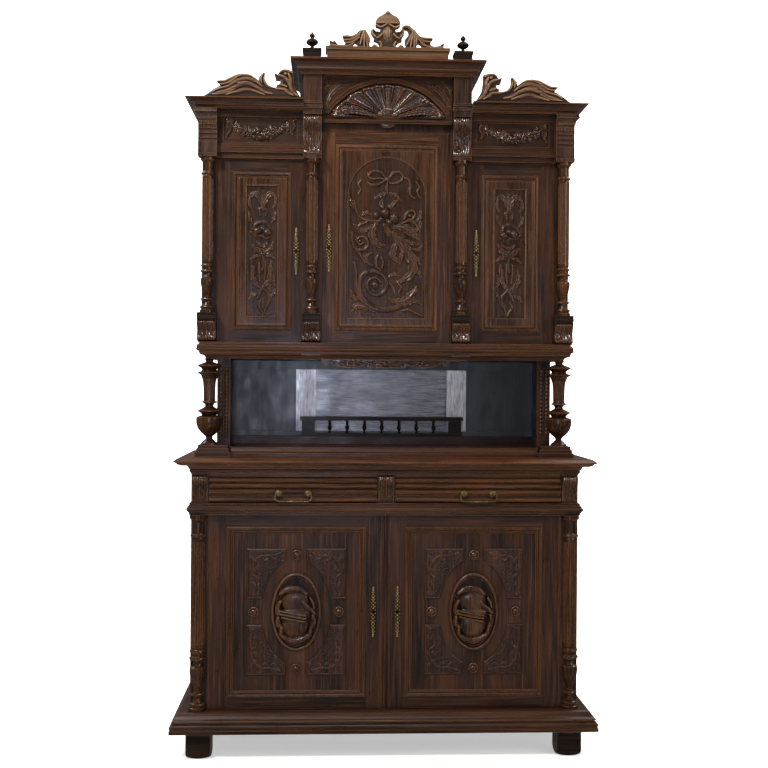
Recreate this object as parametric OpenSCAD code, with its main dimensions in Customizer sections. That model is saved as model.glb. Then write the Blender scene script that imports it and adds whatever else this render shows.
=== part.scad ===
// Dutch cupboard in two stages: a base with two doors and two drawers, an open recess with turned
// columns and a gallery, and an upper cabinet with three carved doors under a broken cornice.
// Millimetres. +X is to the right, +Y to the back, +Z up. The origin is the centre of the floor area.

/* [Overall] */
// Width over the plinth, the widest part
plinth_w = 1570; // [1500:10:1700]
// Depth from the plinth's front edge to the back
depth = 540; // [500:10:620]
// Thickness of the carcase boards
board = 22; // [20:1:25]
// Thickness of the back boards
back_t = 10; // [8:1:12]
// Gap all round each door and drawer
gap = 2; // [1.6:0.1:3]
// Open joint line between pieces that are glued or screwed
glue = 0.1; // [0.05:0.05:0.3]

/* [Base] */
// Height of the feet
foot_h = 95; // [80:1:120]
// Width and depth of a foot
foot_w = 90; // [70:1:110]
// Height of the plinth
plinth_h = 72; // [60:1:90]
// How far the plinth stands out from the body
plinth_out = 68; // [55:1:80]
// Height of the opening for the lower doors
base_door_zone = 719; // [640:1:800]
// Height of the moulded rail between the doors and the drawers
waist_h = 43; // [36:1:50]
// How far that rail's moulding stands out in front
waist_out = 33; // [30:1:44]
// How far it stands out at the sides
waist_side = 14; // [8:1:24]
// Height of the opening for the drawers
drawer_zone = 108; // [96:1:130]
// Height of the moulding under the counter
bed_h = 30; // [24:1:40]
// How far that moulding stands out in front
bed_out = 28; // [20:1:36]
// How far it stands out at the sides
bed_side = 11; // [6:1:20]
// Thickness of the counter
counter_t = 28; // [22:1:34]
// How far the counter stands out from the body
counter_out = 59; // [45:1:66]
// Width of the corner posts
post_w = 65; // [56:1:74]
// Width of the fixed post between the lower doors
mullion_w = 28; // [24:1:40]
// Width of the post between the drawers
divider_w = 65; // [50:1:80]
// Diameter of the base's half columns at the shaft
base_col_d = 50; // [40:1:56]

/* [Recess] */
// Height of the base that the recess columns stand on
recess_base_h = 42; // [34:1:50]
// Clear height of the recess above that base
recess_h = 325; // [280:1:380]
// How much lower the middle of that base is
recess_drop = 9; // [4:1:16]
// Height of the ledge at the back of the recess, above the middle of the base
ledge_h = 29; // [20:1:36]
// Depth of that ledge
ledge_d = 70; // [60:1:90]
// How far each side wall stands in from the side of the upper cabinet
wall_in = 56; // [50:1:70]
// Thickness of the side walls
wall_t = 18; // [14:1:22]
// Width of the fluted pilaster at the front of each wall
pilaster_w = 50; // [42:1:56]
// Diameter of the recess columns at the bowl
bowl_d = 98; // [84:1:104]
// Length of the gallery
gallery_w = 652; // [500:2:800]
// Height of the gallery
gallery_h = 80; // [60:1:100]
// Number of spindles in the gallery
spindles = 7; // [3:1:11]

/* [Upper cabinet] */
// Width of the upper cabinet
upper_w = 1392; // [1340:2:1420]
// Distance of its front behind the front of the base
upper_setback = 100; // [80:1:130]
// Height of the moulded board under the upper cabinet
upper_bottom_h = 61; // [50:1:70]
// Height of the side doors' opening
side_zone = 692; // [620:1:760]
// Height of the centre door's opening
centre_zone = 801; // [760:1:840]
// Width of the outer posts
upper_post_w = 57; // [50:1:64]
// Width of the posts beside the centre door
inner_post_w = 77; // [70:1:84]
// Width of the centre door's opening
centre_w = 488; // [440:2:520]
// Height of the architrave over the side doors
architrave_h = 52; // [44:1:60]
// Height of the side friezes
frieze_h = 127; // [110:1:140]
// Height of the side cornices
side_cornice_h = 34; // [28:1:44]
// How far the side cornices stand out
side_cornice_out = 50; // [40:1:60]
// Height of the plain rail over the centre door
centre_rail_h = 43; // [36:1:50]
// Height of the arched board with the shell
shell_zone = 159; // [150:1:180]
// Height of the centre cornice
centre_cornice_h = 54; // [44:1:64]
// How far the centre cornice stands out
centre_cornice_out = 46; // [36:1:56]
// How far corbels, columns and frieze blocks stand out
block_out = 45; // [38:1:56]
// Width of the corbels and of the frieze blocks
block_w = 70; // [60:1:76]
// Diameter of the upper columns at the shaft
upper_col_d = 42; // [34:1:48]

/* [Doors and drawers] */
// Thickness of the doors
door_t = 22; // [20:1:26]
// Width of a lower door's stile on the hinge side
stile_hinge = 66; // [54:1:76]
// Width of a lower door's stile on the lock side
stile_lock = 58; // [50:1:70]
// Height of a lower door's rails
base_rail = 43; // [36:1:56]
// Width of a side door's stile on the hinge side
side_stile_hinge = 56; // [48:1:64]
// Width of a side door's stile on the lock side
side_stile_lock = 38; // [34:1:46]
// Width of the centre door's stiles
centre_stile = 48; // [42:1:56]
// Height of the upper doors' rails
upper_rail = 46; // [40:1:56]
// Width of the moulding round each door panel
frame_mould_w = 24; // [18:1:28]
// Radius of the pivot pins that the doors turn on
pin_r = 4; // [3:0.5:5]
// Running clearance round each pin
pin_clear = 0.05; // [0.02:0.01:0.09]
// How far a pin reaches into its socket
pin_reach = 12; // [8:1:16]
// Distance of a pivot from the door's hinge edge
pivot_in = 20; // [17:1:24]
// Distance of a pivot behind the door's face
pivot_back = 7; // [6:0.5:9]
// Length of a drawer box behind its front
drawer_len = 400; // [340:5:420]
// Thickness of the drawer sides
drawer_side = 12; // [10:1:15]
// Height of the drawer sides
drawer_side_h = 88; // [70:1:90]
// Distance from the middle of a handle to each of its posts
handle_half = 54; // [44:1:64]
// Radius of the handle's bail
bail_r = 3; // [2.5:0.25:3.5]

/* [Crown] */
// Width of the block under the crest
crest_block_w = 460; // [420:2:500]
// Height of that block
crest_block_h = 64; // [50:1:76]
// Height of the crest's carving
crest_h = 152; // [130:1:170]
// Thickness of the crest and of the two beasts
carve_t = 26; // [20:1:32]
// Number of flutes in the shell
shell_flutes = 9; // [7:2:13]

/* [Hidden] */

// Colours of the waxed oak, its carved parts, the plain wood inside, the brass and the iron
oak = "#4a2c1c";
oak_carved = "#5a3520";
oak_inside = "#7a5a3c";
brass = "#a8863c";
iron = "#3a3634";

// Levels, from the floor up
z_plinth = foot_h;
z_base = z_plinth + plinth_h;
z_waist = z_base + base_door_zone;
z_drawer = z_waist + waist_h;
z_bed = z_drawer + drawer_zone;
z_counter = z_bed + bed_h;
z_top = z_counter + counter_t;
z_recess = z_top + recess_base_h;
z_mid = z_recess - recess_drop;
z_ledge = z_mid + ledge_h;
z_soffit = z_recess + recess_h;
z_upper = z_soffit + upper_bottom_h;
z_arch = z_upper + side_zone;
z_frieze = z_arch + architrave_h;
z_side = z_frieze + frieze_h;
z_side_top = z_side + side_cornice_h;
z_head = z_upper + centre_zone;
z_shell = z_head + centre_rail_h;
z_centre = z_shell + shell_zone;
z_crown = z_centre + centre_cornice_h;
z_crest = z_crown + crest_block_h;

// Planes and half widths
y_front = -depth / 2;
y_back = depth / 2;
y_body = y_front + plinth_out;
y_upper = y_body + upper_setback;
y_block = y_upper - block_out;
body_w = plinth_w - 2 * plinth_out;
hb = body_w / 2;
hu = upper_w / 2;
y_in = y_body + board + glue;
y_uin = y_upper + board + glue;
y_bb = y_back - back_t;
opening_x = hb - post_w;
// The flare at the head and foot of every column, as a share of the shaft's radius
flare = 1.28;
col_foot = base_col_d / 2 * flare + 1;
side_open_out = hu - upper_post_w;
side_open_in = centre_w / 2 + inner_post_w;
post_mid = centre_w / 2 + inner_post_w / 2;
block_mid = hu - upper_post_w + block_w / 2 - 1;
recess_col_x = hu - 32;
wall_out = hu - wall_in;
wall_x = wall_out - wall_t;
pilaster_x = wall_out - pilaster_w;
recess_col_y = y_block + block_w / 2 + 15;
y_recess_back = y_bb - board - glue;

shelf_t = 18;

// Door sizes
base_door_w = opening_x - mullion_w / 2 - 2 * gap;
base_door_h = base_door_zone - 2 * gap;
side_door_w = side_open_out - side_open_in - 2 * gap;
side_door_h = side_zone - 2 * gap;
centre_door_w = centre_w - 2 * gap;
centre_door_h = centre_zone - 2 * gap;
panel_back = 5;
panel_t = 9;
tongue = 8;
drawer_w = opening_x - divider_w / 2 - 2 * gap;
drawer_h = drawer_zone - 2 * gap;
drawer_mid = (opening_x + divider_w / 2) / 2;
handle_z = z_drawer + 34;
reed_out = 9;
bail_stand = 13;

// Points on an arc about (cx, cy)
function arc(cx, cy, r, a, b, n = 6) =
  [for (i = [0:n]) let (t = a + (b - a) * i / n) [cx + r * cos(t), cy + r * sin(t)]];
// One step of a smooth curve between b and c
function blend(a, b, c, d, t) =
  0.5 * (2 * b + (c - a) * t + (2 * a - 5 * b + 4 * c - d) * t * t
  + (3 * b - a - 3 * c + d) * t * t * t);
// A smooth curve through the knots k, with n steps between two knots
function curve(k, n = 4) = let (m = len(k) - 1)
  [for (i = [0:m - 1]) for (j = [0:n - (i == m - 1 ? 0 : 1)])
    blend(k[max(i - 1, 0)], k[i], k[i + 1], k[min(i + 2, m)], j / n)];
// The outline of a tapering stroke along knots [x, y, half width]
function stroke(k, n = 4) =
  let (
    p = curve(k, n),
    m = len(p) - 1,
    d = [for (i = [0:m]) let (v = p[min(i + 1, m)] - p[max(i - 1, 0)]) [v[0], v[1]] / norm([v[0], v[1]])]
  )
  concat(
    [for (i = [0:m]) [p[i][0] - d[i][1] * p[i][2], p[i][1] + d[i][0] * p[i][2]]],
    [for (i = [m:-1:0]) [p[i][0] + d[i][1] * p[i][2], p[i][1] - d[i][0] * p[i][2]]]
  );
// Knots of a spiral that starts at radius r and angle a, and winds in by turns
function spiral(cx, cy, r, a, turns, w, n = 9) =
  [for (i = [0:n]) let (f = i / n, q = r * (1 - 0.78 * f), t = a + 360 * turns * f)
    [cx + q * cos(t), cy + q * sin(t), w * (1 - 0.45 * f)]];
// Knots or points fitted to a field: x times kx, the height times kz
function fit(k, kx, kz) = [for (q = k) [q[0] * kx, q[1] * kz, (len(q) > 2 ? q[2] : 1) * min(kx, kz)]];
function flat(k, kx, kz) = [for (q = k) [q[0] * kx, q[1] * kz]];
// Points on an ellipse
function oval(rx, rz, n = 48) = [for (i = [0:n - 1]) [rx * cos(360 * i / n), rz * sin(360 * i / n)]];

// The front half of a ball, with its flat side on the plane y = 0
module half_ball(r) {
  intersection() {
    sphere(r = r, $fn = 32);
    translate([-2 * r, -2 * r, -2 * r]) cube([4 * r, 2 * r, 4 * r]);
  }
}

// A box from its low corner to its high corner
module block(a, b) {
  translate(a) cube(b - a);
}

// Stands a flat outline up, with its back on the plane y and its face t in front of it
module standing(y, t) {
  translate([0, y, 0]) rotate([90, 0, 0]) linear_extrude(t) children();
}

// Copies its children to the other side too
module both() {
  children();
  mirror([1, 0, 0]) children();
}

// A section of [out, up] points run along the front of a body of half width h, mitred at both ends.
// It stands out by out in front and by side at the ends
module front_run(h, y, z, section, out, side, up) {
  k = 1 + 2 / out;
  intersection() {
    translate([-h - side * k, y, z]) rotate([90, 0, 90]) linear_extrude(2 * (h + side * k))
      polygon([for (q = section) [-q[0], q[1]]]);
    translate([0, 0, z - 1]) linear_extrude(up + 2)
      polygon([[-h - side * k, y - out * k], [h + side * k, y - out * k], [h, y], [-h, y]]);
  }
}

// The same section run back along the right side, as far as y1
module side_run(h, y, y1, z, section, out, side, up) {
  k = 1 + 2 / out;
  intersection() {
    translate([h, y1, z]) rotate([90, 0, 0]) linear_extrude(y1 - y + out * k)
      polygon([for (q = section) [q[0] * side / out, q[1]]]);
    translate([0, 0, z - 1]) linear_extrude(up + 2)
      polygon([[h, y], [h + side * k, y - out * k], [h + side * k, y1 + 1], [h, y1 + 1]]);
  }
}

// A moulding along the front and both sides
module surround(h, y, y1, z, section, out, side, up) {
  front_run(h, y, z, section, out, side, up);
  both() side_run(h, y, y1, z, section, out, side, up);
}

// The same round a deck of the same height
module cornice(h, y, y1, z, section, out, side, up) {
  surround(h, y, y1, z, section, out, side, up);
  block([-h - core, y - core, z], [h + core, y1, z + up]);
}
// How far a core reaches into the moulding round it, so that they make one piece
core = 0.5;

// Section of the plinth: a fillet at the foot, a round, a groove and a wave that rises to the ledge
// l, which the half columns stand on
function plinth_section(o, h, l) = concat(
  [[0, 0], [o, 0], [o, h * 0.18], [o - 4, h * 0.2]],
  arc(o - 10, h * 0.34, h * 0.13, -60, 80, 6),
  [[o - 12, h * 0.5], [o - 12, h * 0.56], [o - 8, h * 0.58], [o - 8, h * 0.63]],
  curve([[o - 10, h * 0.66], [o - 17, h * 0.72], [o - 24, h * 0.84], [l + 7, h * 0.95]], 3),
  [[l, h], [0, h]]
);
// Section of a flat moulding with a round nose between fillets
function waist_section(o, h) = concat(
  [[0, 0], [o * 0.45, 0], [o * 0.45, h * 0.18], [o * 0.7, h * 0.24], [o * 0.7, h * 0.34]],
  arc(o - h * 0.16, h * 0.5, h * 0.16, -90, 90, 6),
  [[o * 0.7, h * 0.66], [o * 0.7, h * 0.76], [o * 0.4, h * 0.84], [o * 0.4, h], [0, h]]
);
// Section of the small moulding under the counter
function bed_section(o, h) = concat(
  [[0, 0], [o * 0.2, 0], [o * 0.2, h * 0.12]],
  arc(o * 0.3, h * 0.36, h * 0.2, -90, 60, 5),
  [[o * 0.75, h * 0.62], [o * 0.75, h * 0.72], [o, h * 0.85], [o, h], [0, h]]
);
// Section of the counter's edge: a bevel on top and a hollow below
function counter_section(o, t) = concat(
  [[0, 0], [o * 0.6, 0]],
  [for (q = arc(o * 0.6, t * 0.55, t * 0.45, -90, -20, 5)) [q[0] + t * 0.1, q[1]]],
  [[o, t * 0.5], [o, t * 0.66], [o * 0.82, t * 0.93], [o * 0.76, t], [0, t]]
);
// Section of a crown: small steps and a wave that rises outward
function crown_section(o, h) = concat(
  [[0, 0], [o * 0.12, 0], [o * 0.12, h * 0.12], [o * 0.2, h * 0.16]],
  arc(o * 0.2, h * 0.42, h * 0.22, -90, -5, 4),
  [[o * 0.42, h * 0.42], [o * 0.46, h * 0.5]],
  arc(o * 0.86, h * 0.5, h * 0.34, 180, 110, 4),
  [[o * 0.9, h * 0.84], [o, h * 0.88], [o, h], [0, h]]
);

// A turned piece from [radius, height] points
module turned(profile) {
  top = profile[len(profile) - 1][1];
  rotate_extrude($fn = 96) polygon(concat([[0, profile[0][1]]], profile, [[0, top]]));
}

// Shallow flutes round a shaft: cutters for a column of radius r between z0 and z1
module flute_cutters(r, z0, z1, count, from = 0, sweep = 360, w = 2.6) {
  for (i = [0:count - 1])
    rotate([0, 0, from + sweep * i / count])
      translate([r + w * 0.35, 0, z0])
        cylinder(r = w, h = z1 - z0, $fn = 24);
}

// A turned column with its flat back against a board: its axis lies deep in front of that board
module pillar(r, h, deep, count) {
  difference() {
    turned(column_profile(r, h));
    flute_cutters(r, h * 0.34, h * 0.86, count, 188, 164 * count / (count - 1));
    translate([-2 * r, deep - glue, -1]) cube([4 * r, 3 * r, h + 2]);
  }
}

// Profile of the half columns and of the upper columns: foot, vase, rings, long shaft and drum.
// r is the shaft's radius and h the height
function column_profile(r, h) = let (u = h / 100, s = r / 21) concat(
  [[r * flare, 0], [r * flare, u * 1.6], [r * 1.05, u * 2.2]],
  arc(r * 1.02, u * 3.4, u * 0.9, -80, 80, 4),
  [[r * 0.8, u * 4.6], [r * 0.62, u * 6.4], [r * 0.6, u * 7.4]],
  arc(r * 0.9, u * 8.6, u * 0.8, -90, 90, 4),
  [[r * 0.6, u * 9.8], [r * 0.56, u * 10.8]],
  curve([[r * 0.62, u * 11.6], [r * 0.92, u * 15], [r * 1.16, u * 19.5], [r * 1.12, u * 22]], 3),
  [[r * 0.8, u * 22.8], [r * 0.66, u * 24], [r * 0.66, u * 25.4]],
  arc(r * 0.98, u * 26.6, u * 0.9, -90, 90, 4),
  [[r * 0.9, u * 27.8], [r * 0.9, u * 29.2]],
  arc(r * 0.94, u * 30.2, u * 0.8, -90, 90, 4),
  [[r * 0.9, u * 31.2], [r, u * 32.4], [r, u * 87.4], [r * 0.9, u * 88.4]],
  arc(r * 0.96, u * 89.4, u * 0.8, -90, 90, 4),
  [[r * 0.9, u * 90.8], [r * 0.9, u * 96], [r * 1.1, u * 97.6], [r * flare, u * 98], [r * flare, h]]
);

// Two blocks and a middle one that carries the fall of the front, as on a bracket foot
module feet() {
  x0 = hb - foot_w + 10;
  color(oak) both() for (y = [y_front + 28, y_back - foot_w - 8])
    translate([x0 + foot_w / 2, y + foot_w / 2, 0]) intersection() {
      translate([-foot_w / 2, -foot_w / 2, 0]) cube([foot_w, foot_w, foot_h - glue]);
      // the worn lower edges are rounded
      rotate_extrude($fn = 64) polygon(concat(
        [[0, 0], [foot_w * 0.42, 0]],
        arc(foot_w * 0.42, foot_w * 0.3, foot_w * 0.3, -90, 0, 6),
        [[foot_w * 0.72, foot_h], [0, foot_h]]
      ));
    }
}

module plinth() {
  color(oak) difference() {
    cornice(hb, y_body, y_back, z_plinth, plinth_section(plinth_out, plinth_h, col_foot), plinth_out,
      plinth_out, plinth_h);
    // the well that the bottom board lies in
    block([-hb + post_w, y_in, z_base - board], [hb - post_w, y_bb, z_base + 1]);
    both() base_pivot(z_base - pin_reach - 1, z_base + 1, pin_r + pin_clear);
  }
}

// A cylinder on the pivot axis of the right lower door
module base_pivot(z0, z1, r) {
  translate([opening_x - gap - pivot_in, y_body + pivot_back, z0]) cylinder(r = r, h = z1 - z0, $fn = 32);
}

// The bottom board and the shelf above it
module base_shelves() {
  z = z_base + base_door_zone / 2;
  color(oak_inside) {
    block(
      [-hb + post_w + glue, y_in + glue, z_base - board + glue],
      [hb - post_w - glue, y_bb - glue, z_base]
    );
    block([-hb + board + glue, y_in + 30, z], [hb - board - glue, y_bb - glue, z + shelf_t]);
  }
}

module base_sides() {
  color(oak) both() block([hb - board, y_in, z_base + glue], [hb, y_back, z_counter - glue]);
}

module base_back() {
  color(oak_inside) block(
    [-hb + board + glue, y_bb, z_base + glue],
    [hb - board - glue, y_back, z_counter - glue]
  );
}

module base_face_frame() {
  color(oak) {
    both() block([opening_x, y_body, z_base + glue], [hb, y_body + board, z_waist - glue]);
    both() block([opening_x, y_body, z_drawer + glue], [hb, y_body + board, z_bed - glue]);
    block([-mullion_w / 2, y_body, z_base + glue], [mullion_w / 2, y_body + board, z_waist - glue]);
    block([-divider_w / 2, y_body, z_drawer + glue], [divider_w / 2, y_body + board, z_bed - glue]);
    // the bead down the middle post
    translate([0, y_body, z_base + glue]) intersection() {
      cylinder(r = mullion_w * 0.28, h = base_door_zone - 2 * glue, $fn = 32);
      translate([-mullion_w, -mullion_w, 0]) cube([2 * mullion_w, mullion_w - glue, base_door_zone]);
    }
  }
}

// Two shelves in each compartment of the upper cabinet
module upper_shelves() {
  y0 = y_uin + 30;
  y1 = y_bb - glue;
  color(oak_inside) for (k = [1, 2]) {
    zc = z_upper + k * centre_zone / 3;
    block([-post_mid + board / 2 + glue, y0, zc], [post_mid - board / 2 - glue, y1, zc + shelf_t]);
    zs = z_upper + k * side_zone / 3;
    both() block([post_mid + board / 2 + glue, y0, zs], [hu - board - glue, y1, zs + shelf_t]);
  }
}

module base_columns() {
  r = base_col_d / 2;
  color(oak) both() translate([hb - r - 2, y_body, z_base + glue]) pillar(r, base_door_zone - 2 * glue, 0, 9);
}

module waist_moulding() {
  color(oak) difference() {
    union() {
      surround(hb, y_body, y_back, z_waist, waist_section(waist_out, waist_h), waist_out, waist_side,
        waist_h);
      block([-hb - core, y_body - core, z_waist], [hb + core, y_body + board, z_waist + waist_h]);
    }
    both() base_pivot(z_waist - 1, z_waist + pin_reach + 1, pin_r + pin_clear);
  }
}

// Three carved brackets over the posts: a ribbed roll at the top, a leaf below it
module drawer_brackets() {
  w = divider_w - 8;
  h = drawer_zone - 2 * glue;
  side = concat(
    [[0, 0], [8, 0], [10, h * 0.1]],
    curve([[9, h * 0.14], [12, h * 0.4], [16, h * 0.62]], 3),
    arc(9, h * 0.8, h * 0.16, -50, 90, 5),
    [[8, h * 0.97], [8, h], [0, h]]
  );
  color(oak_carved) for (x = [-hb + post_w / 2, 0, hb - post_w / 2])
    translate([x - w / 2, y_body - glue, z_drawer + glue]) difference() {
      rotate([90, 0, 90]) linear_extrude(w) polygon([for (q = side) [-q[0], q[1]]]);
      for (i = [1:4])
        translate([w * i / 5, -20, h * 0.12]) cylinder(r = 3.4, h = h * 0.62, $fn = 24);
    }
}

module drawer_runners() {
  top = z_drawer + gap - 0.3;
  color(oak_inside) {
    both() block([opening_x - 32, y_in, top - 20], [hb - board - glue, y_bb - glue, top]);
    block([-divider_w / 2 - 24, y_in, top - 20], [divider_w / 2 + 24, y_bb - glue, top]);
    // the guide between the two drawers
    block([-divider_w / 2 + 2, y_in, top + glue], [divider_w / 2 - 2, y_bb - glue, top + 30]);
  }
}

module bed_moulding() {
  color(oak) {
    surround(hb, y_body, y_back, z_bed, bed_section(bed_out, bed_h), bed_out, bed_side, bed_h);
    block([-hb - core, y_body - core, z_bed], [hb + core, y_body + board, z_bed + bed_h]);
  }
}

module counter_top() {
  color(oak) cornice(hb, y_body, y_back, z_counter + glue, counter_section(counter_out, counter_t - glue),
    counter_out, counter_out, counter_t - glue);
}

// The stepped blocks under the columns, the set-back middle and the ledge of the gallery
module recess_base() {
  half = bowl_d / 2;
  inner = recess_col_x - pilaster_x + 8;
  step = 5;
  mid_y = recess_col_y;
  h = recess_base_h - glue;
  hm = h - recess_drop;
  color(oak) {
    both() translate([recess_col_x, recess_col_y, z_top + glue]) {
      block([-inner, -half, 0], [half, half, h * 0.4]);
      block([-inner + step, -half + step, h * 0.4], [half - step, half - step, h * 0.7]);
      block([-inner + 2 * step, -half + 2 * step, h * 0.7], [half - 2 * step, half - 2 * step, h]);
    }
    difference() {
      union() {
        front_run(hu - 30, mid_y, z_top + glue,
          [[0, 0], [18, 0], [18, hm * 0.36], [9, hm * 0.55], [4, hm * 0.84], [4, hm], [0, hm]], 18, 18, hm);
        block([-hu + 30, mid_y - core, z_top + glue], [hu - 30, y_back, z_top + glue + hm]);
      }
      both() translate([recess_col_x - inner - glue, recess_col_y - half - glue, z_top])
        cube([inner + half + 60, 2 * half + 2 * glue, recess_base_h + 1]);
    }
    block(
      [-wall_x + glue, y_recess_back - ledge_d, z_mid + glue],
      [wall_x - glue, y_recess_back - glue, z_ledge]
    );
  }
}

// The framed back of the recess: two rails, four stiles and three panels
module recess_back() {
  inner = 268;
  stile = 80;
  top_rail = 35;
  bottom_rail = 20;
  outer = wall_out;
  z0 = z_mid + glue;
  z1 = z_soffit - glue;
  za = z_ledge + bottom_rail;
  zb = z1 - top_rail;
  y0 = y_recess_back;
  y1 = y_recess_back + board;
  color(oak) {
    block([-outer, y0, zb], [outer, y1, z1]);
    block([-outer, y0, z0], [outer, y1, za]);
    both() {
      block([inner, y0, za + glue], [inner + stile, y1, zb - glue]);
      block([wall_x, y0, za + glue], [outer, y1, zb - glue]);
      block([inner + stile + glue, y0 + 9, za + glue], [wall_x - glue, y1 - 3, zb - glue]);
    }
    block([-inner + glue, y0 + 9, za + glue], [inner - glue, y1 - 3, zb - glue]);
  }
}

// A fluted pilaster behind each column, and the side wall behind it
module recess_sides() {
  y0 = recess_col_y + bowl_d / 2 + 2 * glue;
  y1 = y0 + board;
  z0 = z_mid + glue;
  z1 = z_soffit - glue;
  color(oak) both() {
    difference() {
      block([pilaster_x, y0, z0], [wall_out, y1, z1]);
      for (i = [1:4])
        translate([pilaster_x + pilaster_w * i / 5, y0 - 1, z0 + 30])
          cylinder(r = 3.6, h = z1 - z0 - 60, $fn = 24);
    }
    block([wall_x, y1 + glue, z0], [wall_out, y_recess_back - glue, z1]);
  }
}

// Turned column: foot ring, round bowl, disk, neck, fluted shaft that flares to a lip, and a capital
function recess_profile(r, h) = let (u = h / 326, s = r / 49) concat(
  [[32 * s, 0], [31 * s, 6 * u], [21 * s, 15 * u], [12 * s, 24 * u], [13 * s, 31 * u]],
  curve([[25 * s, 41 * u], [38 * s, 55 * u], [46 * s, 72 * u], [49 * s, 88 * u], [48.5 * s, 103 * u]], 3),
  [[44 * s, 106 * u], [27 * s, 112 * u], [34 * s, 121 * u], [45 * s, 127 * u], [45 * s, 129 * u]],
  [[30 * s, 136 * u], [16 * s, 144 * u], [16 * s, 150 * u], [20 * s, 156 * u], [31 * s, 160 * u]],
  [[31 * s, 162 * u], [22 * s, 166 * u]],
  curve([[22 * s, 172 * u], [22.5 * s, 205 * u], [25 * s, 240 * u], [33 * s, 264 * u]], 3),
  [[46 * s, 271 * u], [47 * s, 273 * u], [31 * s, 278 * u], [27 * s, 284 * u], [34 * s, 291 * u]],
  [[46 * s, 298 * u], [46 * s, 300 * u], [30 * s, 307 * u], [14 * s, 313 * u], [15 * s, 320 * u], [24 * s, h]]
);

module recess_columns() {
  h = recess_h - 2 * glue;
  color(oak_carved) both() translate([recess_col_x, recess_col_y, z_recess + glue]) difference() {
    turned(recess_profile(bowl_d / 2, h));
    flute_cutters(bowl_d / 2 * 0.47, h * 0.53, h * 0.76, 14, 0, 360, 3.2);
  }
}

// Little balusters between two rails, with a block at each end
module gallery() {
  z0 = z_ledge + glue;
  y = y_recess_back - ledge_d * 0.62;
  rail_t = 16;
  block_len = 55;
  bottom = 13;
  h = gallery_h - bottom - rail_t - 2 * glue;
  color(oak_carved) {
    block([-gallery_w / 2, y - 13, z0], [gallery_w / 2, y + 13, z0 + bottom]);
    block([-gallery_w / 2 - 4, y - 14, z0 + gallery_h - rail_t], [gallery_w / 2 + 4, y + 14, z0 + gallery_h]);
    both() block(
      [gallery_w / 2 - block_len, y - 11, z0 + bottom + glue],
      [gallery_w / 2 - 3, y + 11, z0 + gallery_h - rail_t - glue]
    );
    for (i = [1:spindles]) {
      span = gallery_w - 2 * block_len + 20;
      translate([-span / 2 + span * i / (spindles + 1), y, z0 + bottom + glue]) turned(concat(
        [[6, 0], [6, h * 0.08], [3.2, h * 0.16]],
        curve([[5, h * 0.26], [8.5, h * 0.4], [7.5, h * 0.52], [4, h * 0.66]], 2),
        [[6.5, h * 0.74], [3.4, h * 0.82], [6, h * 0.93], [6, h]]
      ));
    }
  }
}

// The scalloped board under the upper cabinet: three lobes, small cusps and two pendants
module apron() {
  half = centre_w / 2;
  deep = 32;
  lobe = half * 0.86;
  wave = [for (i = [0:36])
    let (x = -lobe + 2 * lobe * i / 36, c = abs(x) < lobe / 3 ? 0 : (abs(x) - lobe * 2 / 3))
    [x, -9 - (deep - 9) * (0.25 + 0.75 * pow(cos(90 * c / (lobe / 3)), 0.7))]];
  color(oak_carved) standing(y_upper + 4, board - 2) translate([0, z_soffit - glue]) polygon(concat(
    [[-half, 0], [-half, -9]],
    arc(-half * 0.93, -14, 9, 170, 350, 6),
    wave,
    arc(half * 0.93, -14, 9, 190, 370, 6),
    [[half, -9], [half, 0]]
  ));
}

// Section that steps in below a round nose, for the board under the upper cabinet
function soffit_section(o, h) = concat(
  [[-24, 0], [-20, 0], [-16, h * 0.14], [-10, h * 0.2]],
  arc(-6, h * 0.34, h * 0.13, -90, 0, 4),
  [[4, h * 0.36], [4, h * 0.44]],
  arc(o * 0.45, h * 0.6, h * 0.14, -90, 0, 4),
  [[o * 0.9, h * 0.62], [o, h * 0.68], [o, h * 0.8], [o * 0.6, h * 0.86], [o * 0.3, h * 0.9]],
  [[o * 0.3, h], [-24, h]]
);

module upper_bottom() {
  out = 12;
  y = y_block + 6;
  section = [for (q = soffit_section(out, upper_bottom_h)) [q[0] + 24, q[1]]];
  color(oak) difference() {
    union() {
      surround(hu - 24, y + 24, y_back, z_soffit, section, out + 24, out + 24, upper_bottom_h);
      block([-hu + 24 - core, y + 24 - core, z_soffit], [hu - 24 + core, y_back, z_upper]);
      // the pads under the inner corbels
      both() translate([post_mid, 0, z_soffit]) block([-block_w / 2, y - 4, 14], [block_w / 2, y + 30, 30]);
    }
    both() side_pivot(z_upper - pin_reach - 1, z_upper + 1, pin_r + pin_clear);
    centre_pivot(z_upper - pin_reach - 1, z_upper + 1, pin_r + pin_clear);
  }
}

// Cylinders on the pivot axes of the right side door and of the centre door
module side_pivot(z0, z1, r) {
  translate([side_open_out - gap - pivot_in, y_upper + pivot_back, z0])
    cylinder(r = r, h = z1 - z0, $fn = 32);
}
module centre_pivot(z0, z1, r) {
  translate([centre_w / 2 - gap - pivot_in, y_upper + pivot_back, z0]) cylinder(r = r, h = z1 - z0, $fn = 32);
}

module upper_uprights() {
  color(oak) {
    both() block([hu - board, y_uin, z_upper + glue], [hu, y_back, z_side - glue]);
    both() translate([post_mid, 0, 0])
      block([-board / 2, y_uin, z_upper + glue], [board / 2, y_bb - glue, z_side - glue]);
    both() block([post_mid - board / 2, y_uin, z_side], [post_mid + board / 2, y_bb - glue, z_centre - glue]);
  }
}

module upper_back() {
  color(oak_inside) {
    block([-hu + board + glue, y_bb, z_upper + glue], [hu - board - glue, y_back, z_side - glue]);
    block([-side_open_in, y_bb, z_side], [side_open_in, y_back, z_centre - glue]);
  }
}

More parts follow.
